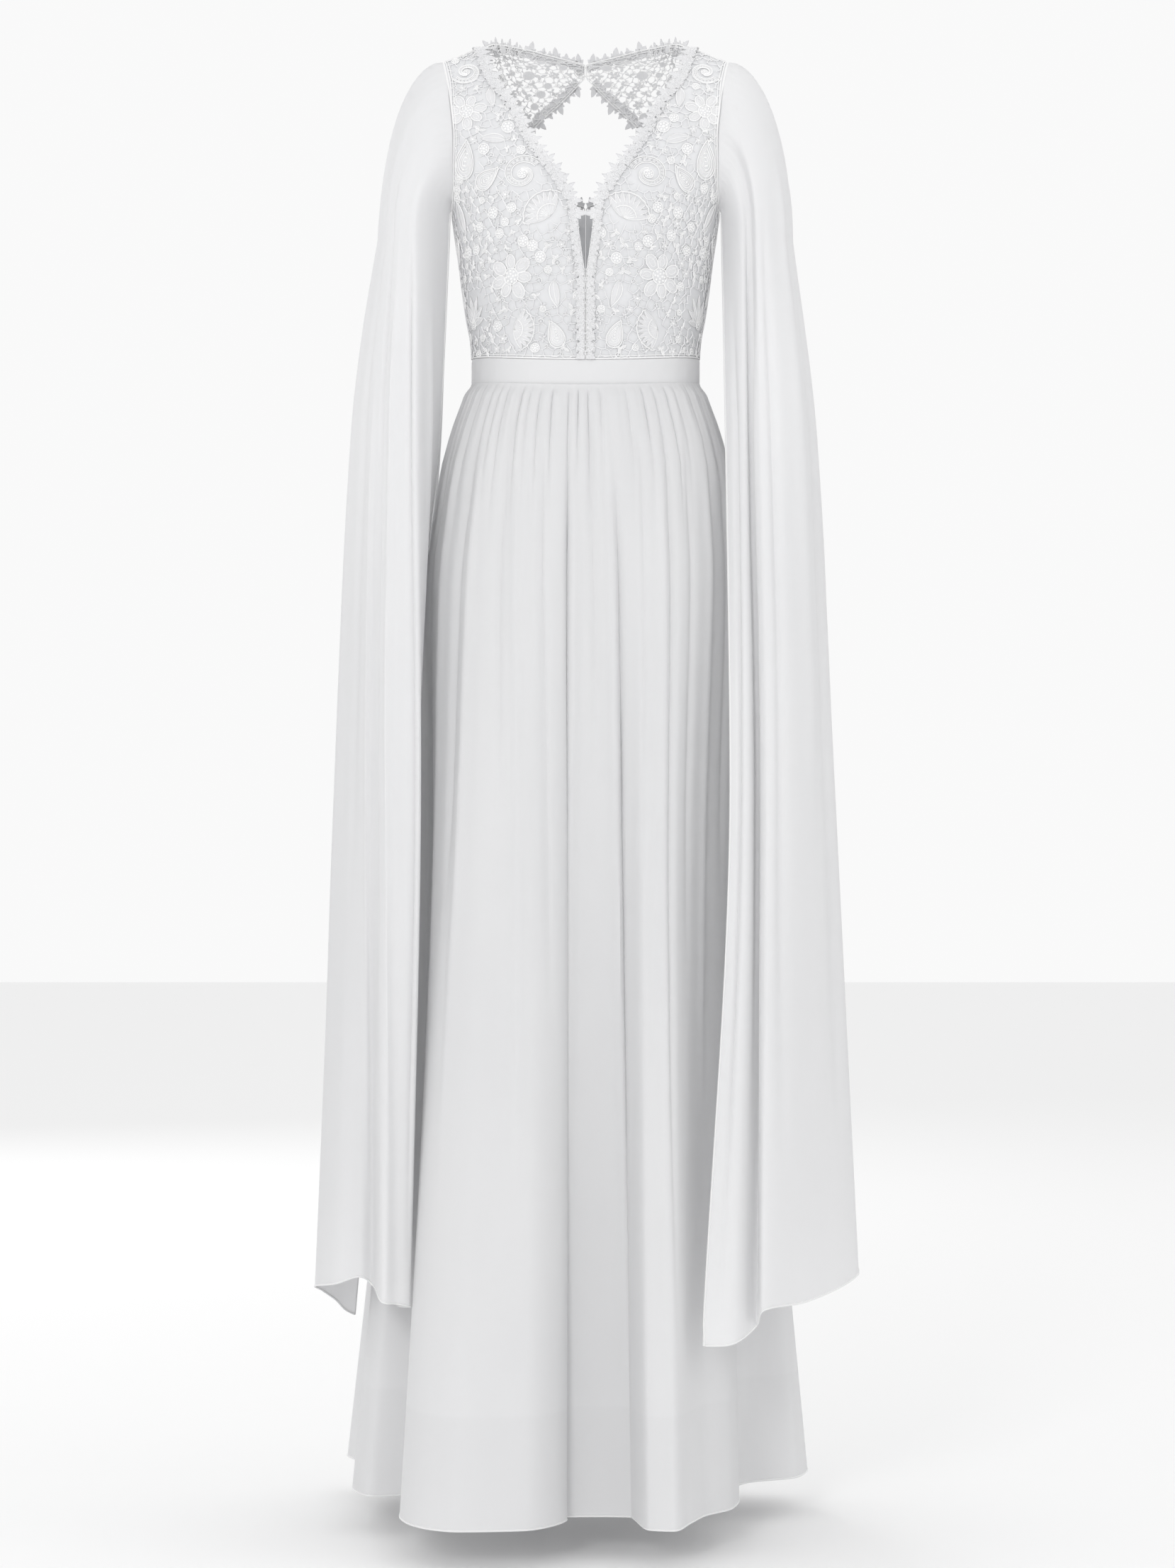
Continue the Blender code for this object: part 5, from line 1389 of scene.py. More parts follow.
@dataclass
class SprigEdging:
    """Dense lace edging along one edge, with leaf sprigs that stand past it.

    Args:
        name: The CAD node it stands for.
        strip: The edge it follows.
        lift: How far off the panel it lies.
        toothed_until: How far along the edge the sprigs go on.
        tangle_pitch: The distance between rows of crowded rings.
    """

    name: str
    strip: EdgeMap
    lift: float
    toothed_until: float
    width: float = TRIM_WIDTH
    pitch: float = 0.0017
    cells: int = 8
    tangle_pitch: float = 0.0031
    lanes: int = 3
    ring_cord: float = 0.00042
    leaf_cord: float = 0.00040
    leaf_length: float = 0.0104
    maker: MeshMaker = field(default_factory=MeshMaker)

    def band(self) -> None:
        """The ground of the band, with uneven scalloped edges and knotted relief."""
        last = self.strip.length
        rows = max(int(last / self.pitch), self.cells)
        s, inward = np.meshgrid(np.linspace(0.0, last, rows), np.linspace(0.0, 1.0, self.cells), indexing="ij")
        edge = 0.0011 + 0.0009 * np.sin(FULL_TURN * s / 0.0061) + 0.0005 * wobble(s * 500.0, 1.0)
        far = self.width - 0.0022 + 0.0015 * np.sin(FULL_TURN * s / 0.0113 + 1.0)
        far = far + 0.0009 * np.sin(FULL_TURN * s / 0.0047)
        flat = np.stack([s, mix(edge, far, inward)], axis=-1)
        rough = 0.0003 + 0.00026 * np.sin(2300.0 * s + 3.0 * np.sin(9.0 * inward))
        rough = rough + 0.00022 * np.sin(1500.0 * s + 14.0 * inward) * np.cos(17.0 * inward + 700.0 * s)
        rough = np.where((inward < 0.02) | (inward > 0.98), 0.0002, np.maximum(rough, 0.0001))
        low = self.strip.place(flat, self.lift)
        high = self.strip.place(flat, self.lift + 0.0003 + rough)
        add_shell_between(self.maker, low, high, unit(high - low), FILL_SLOT)

    def tangle(self) -> None:
        """Rings, knots and short curls of cord, crowded together over the band."""
        number = 0
        s = 0.0022
        while s < self.strip.length - 0.0022:
            for lane in range(self.lanes):
                number += 1
                size = 0.00165 + 0.00055 * math.sin(4.1 * number)
                inward = 0.0019 + lane * 0.5 * (self.width - 0.0040) + 0.0006 * math.sin(2.7 * number)
                centre = np.array([s + 0.0007 * math.sin(5.3 * number) + 0.0011 * (lane % 2), inward])
                if number % 3 == 0:
                    self.mound(ellipse(centre, size * 0.75, size * 0.62, 31.0 * number, 7), 0.0009)
                ring = ellipse(centre, size, size * 0.80, 31.0 * number, 8)
                shut = number % 4 != 1
                path = self.strip.place(ring if shut else ring[:6], self.lift + 0.0008)
                add_tube(self.maker, path, self.ring_cord, 3, closed=shut, slot=NET_SLOT)
            s += self.tangle_pitch

    def mound(self, outline: Array, rise: float) -> None:
        """A low knot over a flat outline."""
        add_mound(self.maker, self.strip.place, outline, self.lift + 0.0001, rise, (0.86, 0.7), FILL_SLOT)

    def leaf(self, root: Array, long: float, wide: float, turn: float) -> None:
        """One leaf of a sprig with its corded edge; turn 0 points straight past the edge."""
        outline = root + turned(leaf_outline(long, wide, 0.10, 7), turn - 90.0)
        self.mound(outline, 0.0009)
        path = self.strip.place(outline, self.lift + 0.0006)
        add_tube(self.maker, path, self.leaf_cord, 3, closed=True, slot=NET_SLOT)

    def sprigs(self) -> None:
        """A large and a small leaf sprig in each repeat, with buds between them."""
        last = min(self.toothed_until, self.strip.length)
        for repeat in range(int(last / SPRIG_PITCH) + 1):
            for part, size in ((0.22, 1.0), (0.50, 0.62), (0.76, 0.88)):
                s = (repeat + part) * SPRIG_PITCH + 0.0012 * math.sin(9.0 * repeat + 4.0 * part)
                if not 0.003 < s < last - 0.003:
                    continue
                root = np.array([s, 0.0020])
                lean = 16.0 * math.sin(5.0 * repeat + 9.0 * part)
                long = self.leaf_length * size * (1.0 + 0.14 * math.sin(7.0 * repeat + 5.0 * part))
                self.leaf(root, long, 0.46 * long, lean)
                for way, share in ((-52.0, 0.70), (48.0, 0.76)):
                    beside = root + np.array([-0.0010 * math.copysign(1.0, way), 0.0006])
                    self.leaf(beside, long * share, 0.40 * long, lean + way)
            for part in (0.06, 0.37, 0.64, 0.90):
                s = (repeat + part) * SPRIG_PITCH
                if 0.002 < s < last - 0.002:
                    bud = np.array([s, -0.0002 - 0.0008 * math.sin(3.0 * repeat + 8.0 * part)])
                    self.mound(ellipse(bud, 0.0017, 0.0014, 0.0, 8), 0.0011)

    def build(self) -> Piece:
        """Makes the piece."""
        self.band()
        self.tangle()
        self.sprigs()
        piece = self.maker.finished(self.name + "_sprigs", LACE_FINISHES, 60.0)
        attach(piece, "root")
        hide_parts(self.name)
        LOG.info("%s: %d faces along %.3f m", piece.name, len(piece.data.polygons), self.strip.length)
        return piece


def add_shell_between(maker: MeshMaker, low: Array, high: Array, ways: Array, slot: int) -> None:
    """A closed wall between two grids of points."""
    thickness = np.linalg.norm(high - low, axis=-1, keepdims=True)
    add_shell(maker, low, ways * thickness, 0.0, 1.0, slot)


def add_mound(
    maker: MeshMaker,
    place: Callable[[Array, float], Array],
    outline: Array,
    base: float,
    rise: float,
    shoulder: tuple[float, float],
    slot: int,
) -> None:
    """A low closed mound over a flat outline that its middle can see all of.

    Args:
        maker: What collects it.
        place: Gives points in space over flat points at a lift.
        outline: The flat outline.
        base: The lift of its rim.
        rise: How much higher its top is.
        shoulder: The share of the outline, and of the rise, at which it turns over.
        slot: Its material slot.
    """
    middle = outline.mean(axis=0)
    rings = [
        place(middle + (outline - middle) * share, base + rise * height) for share, height in ((1.0, 0.0), shoulder)
    ]
    top = place(middle[None], base + rise)
    under = place(middle[None], base)
    count = len(outline)
    here = np.arange(count)
    after = (here + 1) % count
    apex, bottom = 2 * count, 2 * count + 1
    faces = np.stack([here, after, count + after, count + here], axis=-1).tolist()
    faces += [[count + int(a), count + int(b), apex] for a, b in zip(here, after)]
    faces += [[int(b), int(a), bottom] for a, b in zip(here, after)]
    points = np.concatenate([*rings, top, under])
    cross = np.cross(points[count + after] - points[count + here], points[apex] - points[count + here]).sum(axis=0)
    if np.dot(cross, (top - under)[0]) < 0.0:
        faces = [face[::-1] for face in faces]
    maker.faces.extend([[maker.count + k for k in face] for face in faces])
    maker.points.append(points)
    maker.slots.extend([slot] * len(faces))
    maker.count += len(points)


@dataclass
class Bodice:
    """The lace bodice over its lining, with its edgings.

    Args:
        slit_length: How far down the front edge the sprigs go.
        all_along: A length past the end of any edge.
        keyhole_top_part: How far down the back panel its inner edging starts.
        lining_top_part: How far down the back panel its lining starts.
    """

    slit_length: float = 0.255
    all_along: float = 1.0
    keyhole_top_part: float = 0.060
    back_filler_pitch: float = 0.0155
    back_net_pitch: float = 0.0077
    lining_top_part: float = (NAPE_HEIGHT - LINING_TOP) / (NAPE_HEIGHT - BAND_TOP_SIDE)

    def lining(self, panel: PanelMap) -> None:
        """The plain lining behind one lace panel."""
        front = panel.side is Side.FRONT
        points, ways = panel.lining(0.0 if front else self.lining_top_part)
        maker = MeshMaker()
        add_shell(maker, points, ways, 0.0, LINING_WALL)
        node = f"lining_{panel.side.label}_{panel.hand.label}"
        piece = maker.finished(node + "_cloth", (PLAIN_LINING,))
        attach(piece, "root")
        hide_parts(node)
        declare_sheet(piece, points)

    def edging(self, panel: PanelMap) -> None:
        """The sprig edgings of one panel."""
        if panel.side is Side.FRONT:
            down = np.linspace(0.0, 1.0, 181)
            edges = [("neck_trim_", 0.0 * down, down, (0.10, 0.0), TRIM_LIFT, self.slit_length)]
        else:
            bottom = (NAPE_HEIGHT - KEYHOLE_BOTTOM) / (NAPE_HEIGHT - BAND_TOP_SIDE)
            down = np.linspace(self.keyhole_top_part, bottom, 121)
            across = np.linspace(0.0, NECK_PART, 101)
            edges = [
                ("keyhole_trim_", 0.0 * down, down, (0.10, 0.0), TRIM_LIFT, self.all_along),
                ("collar_trim_", across, 0.0 * across, (0.0, 0.03), COLLAR_LIFT, self.all_along),
            ]
        for name, across, down, inward, lift, until in edges:
            edge = np.stack([across, down], axis=-1)
            strip = EdgeMap(panel, edge, edge + np.array(inward))
            SprigEdging(name + panel.hand.label, strip, lift, until).build()

    def build(self) -> None:
        """Makes the lining, the lace and the edgings of the four panels."""
        for side, motifs in ((Side.FRONT, FRONT_LACE), (Side.BACK, BACK_LACE)):
            for hand in Hand:
                drawing = LaceDrawing(side, hand, motifs, seed=1.0 + 1.3 * (hand is Hand.RIGHT))
                if side is Side.BACK:
                    drawing.filler_pitch = self.back_filler_pitch
                    drawing.net_pitch = self.back_net_pitch
                self.lining(drawing.panel)
                drawing.build()
                self.edging(drawing.panel)


def declare_sheet(piece: Piece, points: Array) -> None:
    """Says what flat cloth a piece was cut from, measured along its widest row and longest column.

    Args:
        piece: The cloth.
        points: Its grid, rows down and columns across.
    """
    wide = np.linalg.norm(np.diff(points, axis=1), axis=-1).sum(axis=1)
    long = np.linalg.norm(np.diff(points, axis=0), axis=-1).sum(axis=0)
    across = np.cross(np.diff(points, axis=0)[:, :-1], np.diff(points, axis=1)[:-1])
    area = float(np.linalg.norm(across, axis=-1).sum())
    flat = (round(float(wide.max()), 3), round(float(long.max()), 3))
    area = min(max(area, 0.31 * flat[0] * flat[1]), 0.999 * flat[0] * flat[1])
    LOG.info("%s: cut %.3f by %.3f m, %.3f square metres", piece.name, *flat, area)


class CreaseRow(NamedTuple):
    """One soft crease: its line, where it starts and ends, its depth (a trough is below 0) and its width."""

    place: float
    lean: float
    top: float
    bottom: float
    depth: float
    width: float


def creased(rows: Sequence[CreaseRow], place: Array, fall: Array) -> Array:
    """How far soft creases push the cloth out.

    Args:
        rows: The creases, each wandering by its lean from its top to its bottom.
        place: Where each point lies across the cloth.
        fall: How far each point lies down it.

    Returns:
        The push at each point, in metres.
    """
    push = np.zeros(np.broadcast(place, fall).shape)
    for k, row in enumerate(rows):
        along = np.clip((fall - row.top) / (row.bottom - row.top), 0.0, 1.0)
        line = row.place + row.lean * along + 0.10 * row.width * wobble(9.0 * along, k)
        near = np.abs(place - line) / row.width
        ends = eased(0.0, 0.16, along) * (1.0 - eased(0.62, 1.0, along))
        push += row.depth * ends * np.exp(-(near**1.7))
    return push


# Creases of the skirt: place and width in degrees round the waist, the rest in metres down from the seam
FRONT_CREASES = named_rows(
    CreaseRow,
    (-72, -1.0, 0.02, 0.62, -0.0028, 2.0), (-61, -2.0, 0.01, 0.75, 0.0036, 2.2),
    (-50, -6.0, 0.03, 0.6, -0.0042, 1.9), (-44, -9.0, 0.02, 0.85, 0.0034, 1.7),
    (-33, -1.0, 0.01, 0.48, -0.0032, 1.6), (-27, 0.5, 0.02, 0.95, 0.003, 1.8),
    (-18, 0.8, 0.01, 0.7, -0.0036, 1.5), (-7, -1.8, 0.01, 1.15, -0.0055, 1.5),
    (-3.6, -1.4, 0.02, 1.12, 0.004, 1.6), (2, 1.5, 0.01, 0.42, -0.0028, 1.4), (8, 4.0, 0.01, 1.1, 0.0042, 1.7),
    (11, 4.4, 0.02, 1.15, -0.0048, 1.5), (22, 2.0, 0.01, 0.55, -0.003, 1.6), (29, 5.0, 0.01, 1.0, 0.004, 1.9),
    (33, 6.0, 0.01, 1.05, -0.0042, 1.6), (44, 3.0, 0.02, 0.66, -0.0032, 1.9),
    (55, 2.0, 0.01, 0.82, 0.0034, 2.1), (66, 2.0, 0.02, 0.58, -0.003, 2.0), (76, 1.0, 0.02, 0.74, 0.003, 2.2),
)
BACK_CREASES = named_rows(
    CreaseRow,
    (98, 1.0, 0.02, 0.6, -0.003, 2.2), (107, 2.0, 0.01, 0.95, 0.0036, 2.4),
    (116, -1.0, 0.02, 0.7, -0.0036, 2.0), (127, 2.0, 0.01, 1.05, 0.004, 2.3),
    (135, 2.0, 0.01, 0.62, -0.0034, 1.9), (146, -1.0, 0.02, 0.9, -0.0042, 2.2),
    (154, 1.0, 0.01, 1.0, 0.0038, 2.2), (165, -2.0, 0.02, 0.58, -0.003, 2.0),
    (172, 1.0, 0.01, 0.86, 0.0034, 2.0),
)
# Creases of the sleeves: place and width as parts of the armhole seam
LEFT_CREASES = named_rows(
    CreaseRow,
    (0.055, 0.0, 0.1, 1.28, -0.004, 0.012), (0.155, 0.01, 0.04, 1.05, -0.0052, 0.016),
    (0.23, 0.0, 0.16, 1.25, 0.0046, 0.014), (0.305, 0.01, 0.1, 1.2, -0.005, 0.016),
    (0.4, 0.0, 0.05, 0.9, 0.004, 0.02), (0.46, -0.01, 0.22, 1.25, -0.0045, 0.018),
    (0.54, 0.01, 0.05, 0.8, 0.0038, 0.02), (0.63, 0.0, 0.12, 1.15, -0.005, 0.02),
    (0.72, 0.01, 0.06, 1.2, 0.0048, 0.02), (0.84, 0.0, 0.1, 1.1, -0.0052, 0.022),
    (0.93, 0.0, 0.08, 1.2, 0.0036, 0.018),
)
RIGHT_CREASES = named_rows(
    CreaseRow,
    (0.06, 0.0, 0.1, 1.2, 0.0036, 0.012), (0.15, 0.0, 0.05, 1.25, -0.005, 0.013),
    (0.235, 0.005, 0.12, 1.25, 0.0044, 0.013), (0.3, 0.0, 0.06, 1.05, -0.0048, 0.014),
    (0.362, 0.0, 0.3, 1.25, 0.0036, 0.012), (0.415, 0.005, 0.06, 0.95, -0.004, 0.014),
    (0.48, 0.0, 0.12, 1.22, 0.0044, 0.018), (0.56, 0.01, 0.05, 0.85, -0.0042, 0.02),
    (0.65, 0.0, 0.1, 1.15, 0.0046, 0.02), (0.76, 0.01, 0.06, 1.2, -0.0052, 0.022),
    (0.87, 0.0, 0.1, 1.1, 0.0046, 0.022),
)


@dataclass
class Waistband:
    """The plain band, cut as a front and two backs.

    Args:
        roll: How far its long edges turn in.
        joint: Half the gap between two cuts, in degrees.
    """

    rows: int = 11
    columns: int = 97
    roll: float = 0.0005
    joint: float = 0.03

    def piece(self, node: str, low: float, high: float) -> Piece:
        """One cut of the band between two angles, its long edges softly turned in."""
        angle, part = np.meshgrid(np.linspace(low, high, self.columns), np.linspace(0, 1, self.rows), indexing="xy")
        top = BAND_TOP_SIDE - SEAM - front_dip(angle)
        bottom = BAND_BOTTOM_SIDE - front_dip(angle)
        points = ring_points(angle, mix(top, bottom, part), TORSO_FORM.width, TORSO_FORM.front, TORSO_FORM.back)
        ways = grid_normals(points)
        near_edge = 1.0 - np.sqrt(np.clip(1.0 - (2.0 * np.abs(part - 0.5)) ** 14, 0.0, 1.0))
        ripple = 0.00022 * wobble(angle * 0.55 + 3.0 * part, 2.0) + 0.00012 * wobble(angle * 1.9, 5.0)
        outer = BAND_WALL + ripple - self.roll * near_edge
        maker = MeshMaker()
        add_shell_between(maker, points, points + ways * outer[..., None], ways, 0)
        made = maker.finished(node + "_cloth", (BAND_CLOTH,))
        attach(made, "root")
        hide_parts(node)
        declare_sheet(made, points)
        return made

    def build(self) -> None:
        """Makes the three cuts."""
        for node, low, high in (
            ("waistband_front", -90.0, 90.0),
            ("waistband_back_left", 90.0, 180.0),
            ("waistband_back_right", -180.0, -90.0),
        ):
            self.piece(node, low + self.joint, high - self.joint)


def ring_points(
    angle: Array, height: Array, widths: Curve, fronts: Curve, backs: Curve, centre: Array | float = 0.0
) -> Array:
    """Points on round sections; angle is 0 at the centre front and grows towards +X."""
    turn = np.radians(angle)
    deep = np.where(np.cos(turn) > 0.0, fronts(height), backs(height))
    return stack(centre + widths(height) * np.sin(turn), -deep * np.cos(turn), height)


@dataclass
class Skirt:
    """The gathered chiffon skirt and its shorter lining.

    Args:
        seam_rows: How many of its rows lie in seam_part, the part of its length with fine gathers.
        joint: Half the gap between two cuts, in degrees.
        seam_flat: The degrees beside a seam over which the cloth turns to face straight out.
        crease_fade: The degrees beside a seam over which its creases die away.
    """

    rows: int = 66
    seam_rows: int = 22
    seam_part: float = 0.05
    front_columns: int = 240
    back_columns: int = 132
    lining_rows: int = 46
    lining_columns: int = 81
    joint: float = 0.02
    seam_flat: float = 2.5
    crease_fade: float = 1.6

    def __post_init__(self) -> None:
        """Reads the tables into curves."""
        self.width = column(SKIRT, "height", "half_width")
        self.front = column(SKIRT, "height", "front")
        self.back = column(SKIRT, "height", "back")
        self.across = round_column(HEM_FOLDS, "angle", "across")
        self.depth = round_column(HEM_FOLDS, "angle", "depth")
        self.start = round_column(HEM_FOLDS, "angle", "start")

    def wave(self, angle: Array, valleys: Array) -> Array:
        """1 on the ridge between two gather valleys and 0 in a valley, with fuller ridges than a sine."""
        i = np.clip(np.searchsorted(valleys, angle) - 1, 0, len(valleys) - 2)
        part = np.clip((angle - valleys[i]) / (valleys[i + 1] - valleys[i]), 0.0, 1.0)
        return np.sin(np.pi * part) ** 0.75

    def points(self, angle: Array, height: Array, valleys: Array, creases: Sequence[CreaseRow]) -> Array:
        """The skirt's surface."""
        base = ring_points(angle, height, self.width, self.front, self.back)
        hem = ring_points(angle, np.asarray(HEM), self.width, self.front, self.back)
        start = self.start(angle)
        grown = np.clip((start - height) / (start - HEM), 0.0, 1.0) ** FOLD_GROWTH
        folded = stack(self.across(angle), self.depth(angle), HEM)
        point = base + (folded - hem) * grown[..., None]
        out = unit(base * np.array([1.0, 1.0, 0.0]))
        fallen = BAND_BOTTOM_SIDE - front_dip(angle) - SEAM - height
        gather = GATHER_DEPTH * eased(0.0, GATHER_FULL, fallen) * (1.0 - eased(GATHER_FULL, GATHER_END, fallen))
        fine = self.wave(angle * 2.37 + 3.0 * np.sin(0.21 * angle), np.arange(-900.0, 901.0, 9.0))
        fine = fine * 0.0009 * eased(0.0, 0.010, fallen) * (1.0 - eased(0.020, 0.105, fallen))
        ends = np.clip(np.minimum(angle - valleys[0], valleys[-1] - angle) / self.crease_fade, 0.0, 1.0)
        push = gather * self.wave(angle, valleys) + ends * (fine + creased(creases, angle, fallen))
        return point + out * push[..., None]

    def cloth(self, node: str, valleys: Array, columns: int, creases: Sequence[CreaseRow]) -> Piece:
        """One cut of the skirt, as a thin wall with a rolled hem."""
        upper = np.linspace(0.0, self.seam_part, self.seam_rows)[:-1]
        part = np.concatenate([upper, np.linspace(self.seam_part, 1.0, self.rows - len(upper))])
        angle, down = np.meshgrid(np.linspace(valleys[0], valleys[-1], columns), part, indexing="xy")
        top = BAND_BOTTOM_SIDE - front_dip(angle) - SEAM
        height = mix(top, HEM, down)
        points = self.points(angle, height, valleys, creases)
        beside = np.minimum(angle - valleys[0], valleys[-1] - angle) / self.seam_flat
        near_seam = np.clip(1.0 - beside, 0.0, 1.0)[..., None]
        turn = np.radians(angle)
        out = stack(np.sin(turn), -np.cos(turn), 0.0 * turn)
        ways = unit(mix(grid_normals(points), out, near_seam))
        maker = MeshMaker()
        add_shell(maker, points, ways, WALL + SEAM, WALL + SEAM + CHIFFON_WALL)
        hem = (points + ways * (WALL + CHIFFON_WALL))[-1] + np.array([0.0, 0.0, HEM_ROLL])
        add_tube(maker, hem, HEM_ROLL, 6, slot=1)
        piece = maker.finished(node + "_cloth", (CHIFFON, HEM_THREAD))
        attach(piece, "root")
        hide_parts(node)
        declare_sheet(piece, points)
        return piece

    def lining(self, node: str, low: float, high: float) -> Piece:
        """One cut of the plain lining, with soft creases of its own."""
        around = np.linspace(low, high, self.lining_columns)
        angle, down = np.meshgrid(around, np.linspace(0.0, 1.0, self.lining_rows), indexing="xy")
        height = mix(BAND_BOTTOM_SIDE - front_dip(angle) - SEAM, LINING_HEM, down)
        tables = [column(SKIRT_LINING, "height", name) for name in ("half_width", "front", "back", "centre")]
        points = ring_points(angle, height, *tables[:3], tables[3](height))
        ways = grid_normals(points)
        soft = 0.0007 * wobble(angle * 0.16, 3.0) * eased(0.02, 0.3, down)
        points = points - ways * (soft + 0.0010 * eased(0.0, 0.1, down))[..., None]
        maker = MeshMaker()
        add_shell(maker, points, ways, -0.5 * SKIRT_LINING_WALL, 0.5 * SKIRT_LINING_WALL)
        piece = maker.finished(node + "_cloth", (PLAIN_LINING,))
        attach(piece, "root")
        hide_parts(node)
        declare_sheet(piece, points)
        return piece

    def build(self) -> None:
        """Makes the three cuts of the skirt and the two of its lining."""
        joint = self.joint
        front = np.array([-90.0 + joint, *FRONT_GATHERS, 90.0 - joint])
        self.cloth("skirt_front", front, self.front_columns, FRONT_CREASES)
        left = self.back_valleys(90.0 + joint, 180.0 - joint)
        self.cloth("skirt_back_left", left, self.back_columns, BACK_CREASES)
        mirrored = tuple(row._replace(place=-row.place - 3.0, lean=-row.lean) for row in BACK_CREASES)
        right = self.back_valleys(-180.0 + joint, -90.0 - joint)
        self.cloth("skirt_back_right", right, self.back_columns, mirrored)
        self.lining("skirt_lining_front", -90.0 + joint, 90.0 - joint)
        self.lining("skirt_lining_back", 90.0 + joint, 270.0 - joint)

    @staticmethod
    def back_valleys(low: float, high: float) -> Array:
        """The valleys between the gathers of a back cut."""
        part = np.arange(BACK_GATHERS + 1) / BACK_GATHERS
        return mix(low, high, part + 0.02 * np.sin(7.0 * math.pi * part))


@dataclass
class Sleeve:
    """One long open cape sleeve.

    Args:
        hand: The wearer's left or right.
        rows_table: The lines of its cloth.
        creases: Its soft creases.
        puckers: How many small puckers its seam has, pucker_depth high.
    """

    hand: Hand
    rows_table: tuple[SleeveRow, ...]
    creases: tuple[CreaseRow, ...]
    columns: int = 160
    rows: int = 68
    puckers: float = 19.0
    pucker_depth: float = 0.0004

    @staticmethod
    def seam_point(seam: float) -> Array:
        """One point of the sleeve seam, just off the lace's edge at the armhole."""
        side = Side.FRONT if seam < 0.5 else Side.BACK
        climb = 1.0 - abs(2.0 * seam - 1.0)
        height = float(mix(SLEEVE_BOTTOM, -SHOULDER_DROP, climb))

        def edge_at(level: float, back: float = 0.0) -> Array:
            """The armhole's edge at a height, or this many degrees in from it."""
            angle = TORSO_FORM.armhole_angle(side, np.asarray(level)) - back
            return TORSO_FORM.point(side, angle, np.asarray(level))

        spot = edge_at(height)
        across = spot - edge_at(height, 1.5)
        edge = edge_at(height + 0.003) - edge_at(height - 0.003)
        way = unit(np.cross(across, edge))
        way = -way if np.dot(way, np.array([spot[0], spot[1], 0.1])) < 0.0 else way
        away = unit(np.cross(edge, way))
        away = -away if np.dot(away, across) < 0.0 else away
        return spot + way * (LACE_LIFT + 0.5 * WALL) + away * ARMHOLE_GAP

    def grid(self) -> tuple[Array, Array]:
        """The sleeve's points, and how far down each lies."""
        seam = np.linspace(0.0, 1.0, self.columns)
        level = {name: column(self.rows_table, "seam", name, True)(seam) for name in SleeveRow._fields[1:]}
        start = np.array([self.seam_point(float(place)) for place in seam])
        cap_rows = self.rows // 4
        turn = np.linspace(0.0, 0.5 * np.pi, cap_rows)[:, None]
        arm = np.stack([level["arm"], level["arm_y"], np.full_like(seam, ARM_LEVEL)], axis=-1)
        out, drop = np.sin(turn), 1.0 - np.cos(turn)
        cap = stack(*(mix(start[:, axis], arm[:, axis], way) for axis, way in enumerate((out, out, drop))))
        part = np.linspace(0.0, 1.0, self.rows - cap_rows + 1)[1:, None]
        height = mix(ARM_LEVEL, level["hem_height"][None], part)
        fall = np.empty(height.shape + (3,))
        for k in range(self.columns):
            heights = (ARM_LEVEL, WAIST_LEVEL, THIGH_LEVEL, level["hem_height"][k])
            for axis, ending in ((0, ""), (1, "_y")):
                values = [level[name + ending][k] for name in ("arm", "waist", "thigh", "hem")]
                fall[:, k, axis] = Curve(list(zip(heights, values)))(height[:, k])
        fall[..., 2] = height
        points = np.concatenate([cap, fall])
        steps = np.linalg.norm(np.diff(points, axis=0), axis=-1)
        fallen = np.concatenate([np.zeros((1, self.columns)), np.cumsum(steps, axis=0)])
        return points, fallen

    def build(self) -> Piece:
        """Makes the sleeve with its rolled edges."""
        points, fallen = self.grid()
        ways = grid_normals(points)
        seam = np.broadcast_to(np.linspace(0.0, 1.0, self.columns), fallen.shape)
        push = creased(self.creases, seam, fallen)
        puckers = self.pucker_depth * np.sin(FULL_TURN * self.puckers * seam + 2.0 * np.sin(11.0 * seam)) ** 2
        push = push + puckers * eased(0.0, 0.008, fallen) * (1.0 - eased(0.010, 0.036, fallen))
        points = points + ways * push[..., None]
        points = points * self.hand.flip
        ways = grid_normals(points)
        maker = MeshMaker()
        add_shell(maker, points, ways, -0.5 * CHIFFON_WALL, 0.5 * CHIFFON_WALL)
        lower = len(points) // 8
        border = np.concatenate([points[lower:-1, 0], points[-1, 1:-1], points[:lower:-1, -1]])
        add_tube(maker, border, HEM_ROLL, 6, slot=1)
        node = "sleeve_" + self.hand.label
        piece = maker.finished(node + "_cloth", (SLEEVE_CHIFFON, HEM_THREAD))
        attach(piece, "root")
        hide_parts(node + "_front", node + "_back")
        declare_sheet(piece, points)
        return piece


